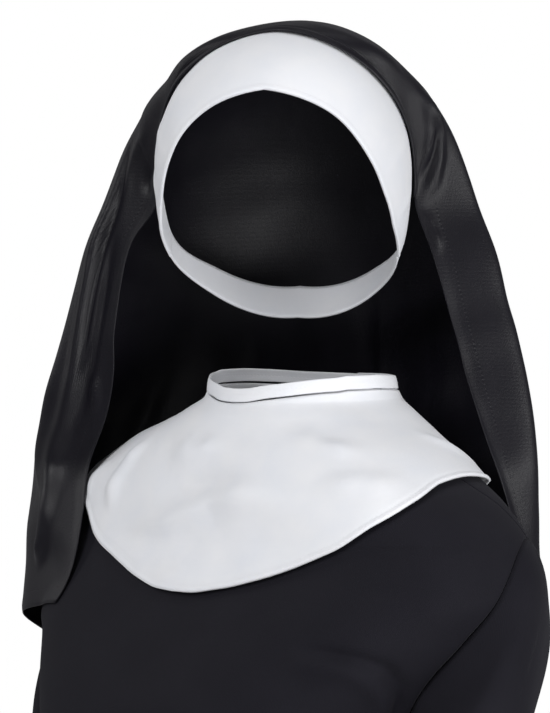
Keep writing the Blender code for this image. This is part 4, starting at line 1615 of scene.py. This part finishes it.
@dataclass
class Veil:
    """The veil: a dome over the crown, sewn along the band, and one long fall round the back."""

    head: HeadForm
    coif: Coif
    veiling: bpy.types.Material
    wall: float = 0.0008
    rows: tuple[VeilRow, ...] = (
        VeilRow(0.1305, 0.124, 0.113, 0.1235, -0.008, -0.008, 42, 2.0, 0.050, 0.0515, -0.074, -0.0605),
        VeilRow(0.095, 0.1385, 0.131, 0.1285, -0.011, -0.008, 38, 2.0, 0.062, 0.056, -0.091, -0.072),
        VeilRow(0.050, 0.1495, 0.137, 0.131, -0.014, -0.005, 28, 2.0, 0.076, 0.060, -0.097, -0.078),
        VeilRow(0.000, 0.1705, 0.133, 0.132, -0.021, 0.002, 14, 2.0, 0.093, 0.064, -0.102, -0.077),
        VeilRow(-0.049, 0.190, 0.120, 0.131, -0.030, 0.003, 4, 2.2, 0.112, 0.068, -0.127, -0.079),
        VeilRow(-0.098, 0.200, 0.115, 0.134, -0.035, 0.005, 0, 2.3, 0.118, 0.080, -0.107, -0.1015),
        VeilRow(-0.150, 0.204, 0.122, 0.135, -0.036, 0.006, 0, 2.3, 0.120, 0.085, -0.115, -0.1125),
        VeilRow(-0.240, 0.206, 0.122, 0.138, -0.037, 0.008, 0, 2.3, 0.120, 0.092, -0.115, -0.1155),
    )
    folds: tuple[VeilFold, ...] = (
        VeilFold(0.86, 0.89, 0.040, 0.0065, 0.20),
        VeilFold(0.78, 0.80, 0.045, -0.006, 0.30),
        VeilFold(0.66, 0.69, 0.045, 0.010, 0.25),
        VeilFold(0.52, 0.50, 0.050, 0.012, 0.30),
        VeilFold(0.40, 0.36, 0.040, 0.009, 0.25),
        VeilFold(0.28, 0.25, 0.040, -0.008, 0.30),
        VeilFold(0.17, 0.15, 0.045, 0.004, 0.35),
    )
    crown: tuple[float, float, float] = (0.0005, -0.0035, 0.2435)
    dome: tuple[DomeStep, ...] = (
        DomeStep(1.000, 0.000),
        DomeStep(0.985, 0.150),
        DomeStep(0.950, 0.272),
        DomeStep(0.876, 0.410),
        DomeStep(0.790, 0.518),
        DomeStep(0.700, 0.612),
        DomeStep(0.533, 0.762),
        DomeStep(0.361, 0.867),
        DomeStep(0.190, 0.941),
        DomeStep(0.000, 1.000),
    )
    brow_fullness: float = 2.05
    seam_lift: float = 0.0009
    seam_end: float = 103.0
    rise_from_seam: float = 0.034
    rise_from_seam_end: float = 0.075
    seam_end_reach: float = 30.0
    seam_end_rounds: int = 40
    seam_end_ease: float = 0.11
    crown_arc: float = 1.12
    dome_roundness: float = 1.8
    brow_spread: float = 1.3
    brow_shift: float = 0.2
    fold_lead: float = 0.15
    fold_growth: float = 0.6
    edge_tuck_turn: float = 9.5
    edge_tuck_ears: float = 8.0
    edge_tuck_grows: float = 0.14
    hem_left: float = -0.180
    hem_back: float = -0.235
    hem_right: float = -0.136
    fall_columns: int = 236
    seam_columns: int = 124
    seam_pitch: float = 0.0028
    crown_guides: int = 12
    fall_guides: int = 9
    crown_rows: int = 50
    fall_rows: int = 118
    crowd_places: int = 401
    crowd_width: float = 0.05
    crowd_right_from: float = 0.87
    crowd_right: float = 3.9
    crowd_left_to: float = 0.11
    crowd_left: float = 2.4
    crease_seed: int = 131
    wave_rise: float = 0.0005
    wave_length: float = 0.06
    wave_seed: int = 137
    held_from_edge: float = 0.004
    held_fade: float = 0.02
    held_rounds: int = 2
    low_from: float = 0.03
    low_fade: float = 0.05
    low_rim_rounds: int = 30
    low_rounds: int = 6
    low_reach: float = 0.03
    tuck_at: float = 0.0035
    tuck_half_width: float = 0.0028
    tuck_rise: float = 0.0011
    tuck_rise_low: float = 0.0004
    seam_line_at: float = 0.0085
    seam_line_half_width: float = 0.0016
    seam_line_depth: float = 0.0010
    crown_margin: float = 0.001
    cut: Cut = Cut("veil", 0.95, 0.58, 0.25, Held.DRAPED, ("coif_band", "tunic_front"))
    creases: tuple[Crease, ...] = (
        # the long lapped fold down the wearer's right, from above the seam's end to the hem
        Crease(((0.560, 0.150), (0.561, 0.130), (0.561, 0.091), (0.561, 0.066), (0.558, 0.031),
                (0.554, 0.001), (0.555, -0.018), (0.553, -0.037), (0.560, -0.052)),
               0.0060, 0.0062, Lie.LAPPED, 0.35, 0.45, True),
        Crease(((0.561, 0.085), (0.561, 0.130), (0.560, 0.171), (0.556, 0.209), (0.537, 0.248),
                (0.520, 0.282)), 0.0058, 0.0052, Lie.RIDGE, 0.35, 0.10, True),
        Crease(((0.567, 0.190), (0.568, 0.141), (0.572, 0.100), (0.572, 0.079), (0.571, 0.049),
                (0.564, 0.013)), 0.0044, 0.0034, Lie.TROUGH, 0.35, 0.3, True),
        Crease(((0.598, -0.044), (0.579, -0.038), (0.567, -0.030), (0.561, -0.014), (0.562, 0.002),
                (0.567, 0.020)), 0.0024, 0.0015, Lie.RIDGE, 0.2, 0.4, True),
        Crease(((0.570, 0.116), (0.574, 0.132), (0.581, 0.156)), 0.0030, 0.0022, Lie.RIDGE, 0.4, 0.4, True),
        # the pucker at the seam's end on that side
        Crease(((0.590, -0.020), (0.580, -0.014), (0.576, -0.008), (0.584, -0.001)),
               0.0024, 0.0022, Lie.TROUGH, 0.3, 0.3, True),
        # two crescents and a ring beside the seam's end at the wearer's left
        Crease(((-0.030, -0.044), (-0.012, -0.053), (0.000, -0.054), (0.009, -0.044), (0.013, -0.027),
                (0.010, -0.008), (0.004, 0.006)), 0.0034, 0.0048, Lie.RIDGE, 0.25, 0.2, True),
        Crease(((-0.022, -0.044), (-0.012, -0.046), (-0.003, -0.042), (0.001, -0.030), (0.001, -0.012)),
               0.0028, 0.0036, Lie.RIDGE, 0.3, 0.4, True),
        Crease(((0.003, 0.006), (0.006, 0.016), (0.006, 0.030), (0.002, 0.040)),
               0.0030, 0.0020, Lie.RIDGE, 0.4, 0.4, True),
        # long soft folds down the back
        Crease(((152, 0.090), (150, -0.020), (147, -0.130)), 0.0120, 0.0040, Lie.RIDGE, 0.4, 0.1),
        Crease(((176, 0.060), (178, -0.060), (181, -0.200)), 0.0110, 0.0045, Lie.TROUGH, 0.4, 0.1),
        Crease(((-158, 0.090), (-156, -0.030), (-152, -0.180)), 0.0120, 0.0040, Lie.LAPPED, 0.4, 0.1),
        Crease(((-124, 0.100), (-122, -0.010), (-118, -0.150)), 0.0110, 0.0040, Lie.RIDGE, 0.4, 0.1),
        Crease(((-98, 0.060), (-96, -0.040), (-97, -0.140)), 0.0100, 0.0035, Lie.TROUGH, 0.4, 0.1),
    )

    def size(self, name: str, height: Values | float) -> Values:
        """One of the fall's sizes at a height."""
        return SizeTable(self.rows, "height").at(name, height)

    def middles(self, height: Values) -> np.ndarray:
        """The veil's own middle line at heights."""
        return np.stack([self.size("centre_x", height), self.size("centre_y", height)], axis=-1)

    def ring(self, turn: Values, height: Values, scale: Values | float = 1.0) -> Spots:
        """Points of the plain section at turns about the veil's own middle."""
        yaw = np.radians(self.size("yaw", height))
        power = self.size("squareness", height)
        side = np.sin(np.radians(turn) - yaw)
        ahead = np.cos(np.radians(turn) - yaw)
        depth = np.where(ahead > 0, self.size("front", height), self.size("back", height))
        wide = np.abs(side / self.size("half_width", height)) ** power
        reach = (wide + np.abs(ahead / depth) ** power) ** (-1.0 / power) * scale
        turn = np.radians(turn)
        return stack(
            self.size("centre_x", height) + np.sin(turn) * reach,
            self.size("centre_y", height) - np.cos(turn) * reach,
            height,
        )

    def free_edge(self, side: str, height: Values) -> Spots:
        """Points of a free edge at heights."""
        return stack(self.size(side + "_x", height), self.size(side + "_y", height), height)

    def turn_of(self, spots: Spots, height: Values) -> Values:
        """Turns of points about the veil's middle, 0 to 360 degrees."""
        x = spots[..., 0] - self.size("centre_x", height)
        y = spots[..., 1] - self.size("centre_y", height)
        return np.degrees(np.arctan2(x, -y)) % 360.0

    def spot(self, across: Values, height: Values) -> Spots:
        """Points of the fall, 0 at the left free edge and 1 at the right one."""
        left, right = self.free_edge("left", height), self.free_edge("right", height)
        first, last = self.turn_of(left, height), self.turn_of(right, height)
        turn = blend(first, last, across)
        spots = self.ring(turn, height)
        inward = stack(-np.sin(np.radians(turn)), np.cos(np.radians(turn)), 0.0)
        grown = ease_in((self.rows[0].height - height) / self.edge_tuck_grows)
        tuck = blend(self.edge_tuck_ears, self.edge_tuck_turn, grown)
        for edge, edge_turn in ((left, first), (right, last)):
            near = 1.0 - ease_in(np.abs(turn - edge_turn) / tuck)
            way = np.radians(edge_turn)
            gap = self.ring(edge_turn, height) - edge
            pull = gap[..., 0] * np.sin(way) - gap[..., 1] * np.cos(way)
            spots = spots + inward * (pull * near)[..., None]
        return spots

    def fold_rise(self, across: Values, level: Values) -> Values:
        """How far the long folds lift the fall, at a level from 0 at the ears to 1 at the hem."""
        rise = np.zeros(np.broadcast(across, level).shape)
        for fold in self.folds:
            middle = blend(fold.at_ears, fold.at_hem, level)
            grown = ease_in((level - fold.begins + self.fold_lead) / self.fold_growth)
            rise += fold.rise * grown * np.exp(-(((across - middle) / fold.half_width) ** 2))
        return rise

    def hem_height(self, across: Values) -> Values:
        """Height of the hem across the fall."""
        left = blend(self.hem_left, self.hem_back, ease_in(across / 0.5))
        right = blend(self.hem_back, self.hem_right, ease_in((across - 0.5) / 0.5))
        return np.where(across < 0.5, left, right)

    def columns(self) -> Values:
        """Places of the fall's columns, closer on the sides that fold the most."""
        even = np.linspace(0.0, 1.0, self.crowd_places)
        right = ease_in((even - self.crowd_right_from) / self.crowd_width)
        left = ease_in((self.crowd_left_to - even) / self.crowd_width)
        weight = 1.0 + self.crowd_right * right + self.crowd_left * left
        run = np.concatenate([[0.0], np.cumsum((weight[1:] + weight[:-1]) / 2)])
        return np.interp(np.linspace(0, run[-1], self.fall_columns + 1), run, even)

    def dome_out(self, height: Values, brow: Values | float) -> Values:
        """Half width of the dome, as a share of its width at the ears.

        Args:
            height: share of the dome's rise.
            brow: 1 over the brow, where the dome is fuller, and 0 elsewhere.

        Returns:
            The shares.
        """
        height = np.clip(height, 0.0, 1.0)
        full = (1.0 - height**self.brow_fullness) ** (1.0 / self.brow_fullness)
        return blend(SizeTable(self.dome, "height").at("out", height), full, brow)

    def crown_point(self, foot: Spots, brow: Values, t: float) -> Spots:
        """Points between the crown and a foot, round as a dome.

        Args:
            foot: the dome's lowest points.
            brow: how far each belongs to the fuller part over the brow.
            t: share of the way down.

        Returns:
            The points.
        """
        level = self.rows[0].height
        top = np.array(self.crown)
        high = top[2] - level
        climb = np.clip((foot[:, 2] - level) / high, 0.0, 0.999)
        angle = np.arccos(climb ** (self.dome_roundness / 2)) * t
        height = np.cos(angle) ** (2 / self.dome_roundness)
        share = self.dome_out(height, brow) / self.dome_out(climb, brow)
        flat = top[:2] + (foot[:, :2] - top[:2]) * share[:, None]
        return np.concatenate([flat, (level + high * height)[:, None]], axis=-1)

    def feet(self) -> tuple[Spots, Spots, Values, Values]:
        """Feet of the dome.

        Returns:
            Its plain feet, the feet drawn in to where the cloth is held, how far each belongs to
            the brow, and the length over which the cloth is drawn in.
        """
        ears = self.rows[0].height
        across = self.columns()
        level = np.full(len(across), ears)
        first = self.turn_of(self.free_edge("left", level), level)
        last = self.turn_of(self.free_edge("right", level), level)
        turn = blend(first, last, across)
        plain = self.ring(turn, level)
        drawn = self.spot(across, level)
        place = np.linspace(-self.seam_end, self.seam_end, self.seam_columns + 1)[1:-1]
        slant = self.coif.edge("rear", place)
        out = self.coif.wall + self.seam_lift
        seam = self.head.point(self.head.round_band(place, slant), out)
        turn = self.turn_of(seam, np.full(len(place), ears))
        high = (seam[:, 2] - ears) / (self.crown[2] - ears)
        front = 1.0 - np.abs(place) / self.seam_end
        brow = ease_in(front * self.brow_spread - self.brow_shift)
        scale = self.dome_out(high, brow)
        above = self.ring(turn, np.full(len(place), ears), scale)
        above[:, 2] = seam[:, 2]
        near_seam_end = ease_in(1.0 - (self.seam_end - np.abs(place)) / (2 * self.seam_end_reach))
        fall_turn = blend(first, last, across)
        away = np.minimum(np.abs(fall_turn - first), np.abs(fall_turn - last))
        near = np.concatenate([ease_in(1.0 - away / self.seam_end_reach), near_seam_end])
        reach = blend(self.rise_from_seam, self.rise_from_seam_end, near)
        plain = np.concatenate([plain, above])
        return plain, np.concatenate([drawn, seam]), np.concatenate([np.zeros(len(across)), brow]), reach

    def guides(self, across: Values) -> Spots:
        """Guide rows from the crown over the dome and down the fall.

        Args:
            across: places of the fall's columns.

        Returns:
            The rows. The fall's columns come first in each, then those over the brow, which
            only the dome uses.
        """
        plain, drawn, brow, reach = self.feet()
        top = np.array(self.crown)
        length = np.linalg.norm(plain - top, axis=-1) * self.crown_arc
        guide = [np.broadcast_to(top, plain.shape)]
        for i in range(1, self.crown_guides + 1):
            t = i / self.crown_guides
            share = ease_in(1.0 - (1.0 - t) * length / reach)[:, None]
            guide.append(self.crown_point(plain, brow, t) + (drawn - plain) * share)
        for i in range(1, self.fall_guides + 1):
            level = i / self.fall_guides
            height = blend(self.rows[0].height, self.hem_height(across), level)
            fall = self.spot(across, height)
            away = fall - stack(self.size("centre_x", height), self.size("centre_y", height), height)
            row = 2 * guide[-1] - guide[-2]
            row[: len(across)] = fall + unit(away) * self.fold_rise(across, level)[..., None]
            guide.append(row)
        return np.stack(guide)

    def join(self, around: int, wide: int) -> np.ndarray:
        """Faces of the veil: a closed top, the rings of the dome, then the fall.

        Args:
            around: columns of the dome.
            wide: columns of the fall.

        Returns:
            The faces, four point numbers each.
        """
        # the dome's top is closed by quads that each take two of the first row's columns
        j = np.arange(0, around, 2)
        cap = np.stack([np.zeros(len(j), int), 1 + j, 1 + (j + 1) % around, 1 + (j + 2) % around], -1)
        ring = grid_faces(self.crown_rows, around, around=True) + 1
        dome_end = 1 + self.crown_rows * around
        last_row = dome_end - around + np.arange(wide)
        below = dome_end + np.arange(self.fall_rows * wide).reshape(-1, wide)
        rows = np.concatenate([last_row[None], below])
        fall = np.stack([rows[:-1, :-1], rows[1:, :-1], rows[1:, 1:], rows[:-1, 1:]], axis=-1)
        return np.concatenate([cap, ring, fall.reshape(-1, 4)])

    def lay(self, dome: Spots, fall: Spots, across: Values) -> Sheet:
        """Make one sheet of the dome and the fall.

        Args:
            dome: points of the dome, rows by columns by three.
            fall: points of the fall below it.
            across: places of the fall's columns.

        Returns:
            The sheet, with its places on the cloth and its distances from the finished edges.
        """
        around, wide = dome.shape[1], len(across)
        dome_end = 1 + self.crown_rows * around
        points = np.concatenate([np.array(self.crown)[None], dome.reshape(-1, 3), fall.reshape(-1, 3)])
        run = np.concatenate([[0.0], np.cumsum(np.linalg.norm(np.diff(fall, axis=1), axis=-1).mean(0))])
        round_brow = run[-1] + np.arange(1, around - wide + 1) * self.seam_pitch
        step = np.linalg.norm(np.diff(dome, axis=0), axis=-1)
        back = np.concatenate([np.cumsum(step[::-1], axis=0)[::-1], np.zeros((1, around))])
        drop = np.linalg.norm(np.diff(np.concatenate([dome[-1:, :wide], fall]), axis=0), axis=-1)
        cloth = np.zeros((len(points), 2))
        cloth[1:dome_end, 0] = np.tile(np.concatenate([run, round_brow]), self.crown_rows)
        cloth[1:dome_end, 1] = -back.reshape(-1)
        cloth[dome_end:, 0] = np.tile(run, self.fall_rows)
        cloth[dome_end:, 1] = np.cumsum(drop, axis=0).reshape(-1)
        unsewn = np.where(np.arange(around) < wide, 1.0, 0.0)
        low = (fall[..., 2] - self.hem_height(across)[None]).reshape(-1)
        sides = np.tile(np.minimum(run, run[-1] - run), self.fall_rows)
        hem = np.full(len(points), 1.0)
        hem[1:dome_end] = (back + unsewn[None]).reshape(-1)
        hem[dome_end:] = np.minimum(low, sides)
        girth = run[-1] + (around - wide + 1) * self.seam_pitch
        return Sheet("veil_cloth", points, self.join(around, wide), cloth, hem, self.middles, girth)

    def dress(self, under: Sequence[tuple[Sheet, float]]) -> dict[str, Sheet]:
        """Build the veil over what it rests on.

        Args:
            under: sheets under the veil, with the space kept above each.

        Returns:
            The finished sheet by node.
        """
        across = self.columns()
        wide = len(across)
        rows = self.guides(across)
        outward = unit((rows[1] - rows[0]) * np.array([1.0, 1.0, 0.0]))
        dome = flow(rows, outward, self.crown_guides, self.crown_rows)
        fall = flow(rows[:, :wide], outward[:wide], len(rows) - 1, self.fall_rows, self.crown_guides)
        sheet = self.lay(dome, fall, across)
        sheet.soften(self.seam_end_rounds, self.near_seam_ends(sheet))
        self.gather_seam(sheet)
        sheet.fold(self.creases, self.crease_seed)
        sheet.ripple(self.wave_rise, self.wave_length, self.wave_seed)
        held = np.clip((sheet.hem - self.held_from_edge) / self.held_fade, 0, 1)
        sheet.soften(self.held_rounds, held)
        sheet.clear_of(under)
        low = ease_in((self.low_from - sheet.points[:, 2]) / self.low_fade)
        sheet.smooth_rim(self.low_rim_rounds, low)
        sheet.soften(self.low_rounds, low * np.clip(1.0 - sheet.hem / self.low_reach, 0, 1))
        return {"veil": sheet}

    def near_seam_ends(self, sheet: Sheet) -> Values:
        """How near each point of the sheet lies to an end of the seam, 1 at the end itself."""
        near = np.zeros(len(sheet.points))
        for side in ("left", "right"):
            end = self.free_edge(side, self.rows[0].height)
            away = np.linalg.norm(sheet.points - end, axis=-1)
            near = np.maximum(near, 1.0 - ease_in(away / self.seam_end_ease))
        return near

    def gather_seam(self, sheet: Sheet) -> None:
        """Turn the edge on the band in, with its seam line and short tucks."""
        fold = hump(sheet.hem, self.tuck_at, self.tuck_half_width)
        line = hump(sheet.hem, self.seam_line_at, self.seam_line_half_width)
        crown = sheet.points[:, 2] > self.rows[0].height + self.crown_margin
        sewn = self.tuck_rise * fold - self.seam_line_depth * line
        sheet.lift(np.where(crown, sewn, self.tuck_rise_low * fold))

    def finish(self, laid: dict[str, Sheet]) -> None:
        """Give the veil its wall and hand it to the frame."""
        put_on(laid["veil"].piece(self.wall, True, self.veiling), self.cut)


# ---------------------------------------------------------------- light, floor and camera


@dataclass(frozen=True)
class SoftLight:
    """A large soft lamp: where it stands, how wide it is and how strong."""

    name: str
    place: tuple[float, float, float]
    width: float
    height: float
    power: float


@dataclass
class Studio:
    """Plain pale floor, soft lamps, white surroundings and the camera."""

    azimuth: float = 50.0
    elevation: float = 2.6
    distance: float = 2.0
    target: tuple[float, float, float] = (-0.0116, -0.0138, 0.028)
    metres_a_pixel: float = 0.000647
    image_height: int = 713
    sensor: float = 36.0
    floor_height: float = -1.45
    floor_size: float = 3.4
    lamps: tuple[SoftLight, ...] = (
        SoftLight("key_lamp", (0.5, -2.6, 1.5), 1.2, 1.6, 43.0),
        SoftLight("side_lamp", (2.65, 0.95, 0.15), 1.2, 1.4, 36.0),
        SoftLight("low_lamp", (1.6, -0.6, -0.4), 0.6, 0.8, 12.0),
        SoftLight("far_lamp", (-2.3, -1.2, 1.2), 0.8, 1.8, 11.0),
        SoftLight("top_lamp", (0.6, -0.3, 2.5), 1.4, 1.2, 10.0),
    )
    glow: float = 0.15
    floor_dull: tuple[float, float, float] = (0.80, 0.80, 0.81)
    floor_pale: tuple[float, float, float] = (0.84, 0.84, 0.85)
    floor_roughness: float = 0.9

    def set_camera(self) -> None:
        """Stand the camera in front of the wearer's left shoulder."""
        data = bpy.data.cameras.new("camera")
        data.sensor_width = self.sensor
        data.lens = self.distance / self.metres_a_pixel / self.image_height * self.sensor
        camera = bpy.data.objects.new("camera", data)
        bpy.context.scene.collection.objects.link(camera)
        turn, lift = math.radians(self.azimuth), math.radians(self.elevation)
        back = Vector(
            (math.sin(turn) * math.cos(lift), -math.cos(turn) * math.cos(lift), math.sin(lift))
        )
        camera.location = Vector(self.target) + back * self.distance
        camera.rotation_euler = (-back).to_track_quat("-Z", "Y").to_euler()
        bpy.context.scene.camera = camera

    def set_lamps(self) -> None:
        """Hang the soft lamps, each turned to the wearer's chest."""
        for lamp in self.lamps:
            data = bpy.data.lights.new(lamp.name, "AREA")
            data.shape = "RECTANGLE"
            data.size = lamp.width
            data.size_y = lamp.height
            data.energy = lamp.power
            made = bpy.data.objects.new(lamp.name, data)
            bpy.context.scene.collection.objects.link(made)
            made.location = lamp.place
            made.rotation_euler = (-Vector(lamp.place)).to_track_quat("-Z", "Y").to_euler()

    def set_surroundings(self) -> None:
        """White to the eye, softer as light."""
        world = bpy.data.worlds.new("studio")
        world.use_nodes = True
        tree = world.node_tree
        shade = tree.nodes["Background"]
        shade.inputs["Color"].default_value = (1.0, 1.0, 1.0, 1.0)
        path = tree.nodes.new("ShaderNodeLightPath")
        level = tree.nodes.new("ShaderNodeMapRange")
        level.inputs["To Min"].default_value = self.glow
        level.inputs["To Max"].default_value = 1.0
        tree.links.new(path.outputs["Is Camera Ray"], level.inputs["Value"])
        tree.links.new(level.outputs[0], shade.inputs["Strength"])
        bpy.context.scene.world = world
        bpy.context.scene.view_settings.view_transform = "Standard"

    def set_floor(self) -> None:
        """Lay the floor well below the hem."""
        bpy.ops.object.select_all(action="DESELECT")
        bpy.ops.mesh.primitive_plane_add(size=self.floor_size, location=(0, 0, self.floor_height))
        floor = bpy.context.active_object
        floor.name = "studio_floor"
        bpy.ops.object.transform_apply(location=True)
        dye = Dye("pale_floor")
        mottle = dye.cloud(3.0, 2.0)
        floor.data.materials.append(
            dye.dress(
                {
                    "Base Color": dye.mix(mottle, self.floor_dull, self.floor_pale),
                    "Roughness": self.floor_roughness,
                }
            )
        )
        floor.select_set(False)

    def build(self) -> None:
        """Set up the whole studio."""
        self.set_camera()
        self.set_lamps()
        self.set_surroundings()
        self.set_floor()


def main() -> None:
    """Build the studio and the habit."""
    logging.basicConfig(level=logging.INFO, format="%(name)s: %(message)s")
    bpy.ops.object.select_all(action="DESELECT")
    Studio().build()
    jersey = JerseyFinish().material()
    veiling = VeilingFinish().material()
    white = WhiteFinish().material()
    body, head = BodyForm(), HeadForm()
    tunic = Tunic(body, jersey)
    worn = tunic.dress()
    collar = BibCollar(body, white)
    bib = collar.dress(worn)
    coif = Coif(head, white)
    cap = coif.dress()
    veil = Veil(head, coif, veiling)
    under = [(sheet, VEIL_OVER_TUNIC) for sheet in worn.values()]
    hood = veil.dress([*under, (bib["bib_collar"], VEIL_OVER_COLLAR)])
    tunic.finish(worn)
    collar.finish(bib)
    coif.finish(cap)
    veil.finish(hood)


if __name__ == "__main__":
    main()
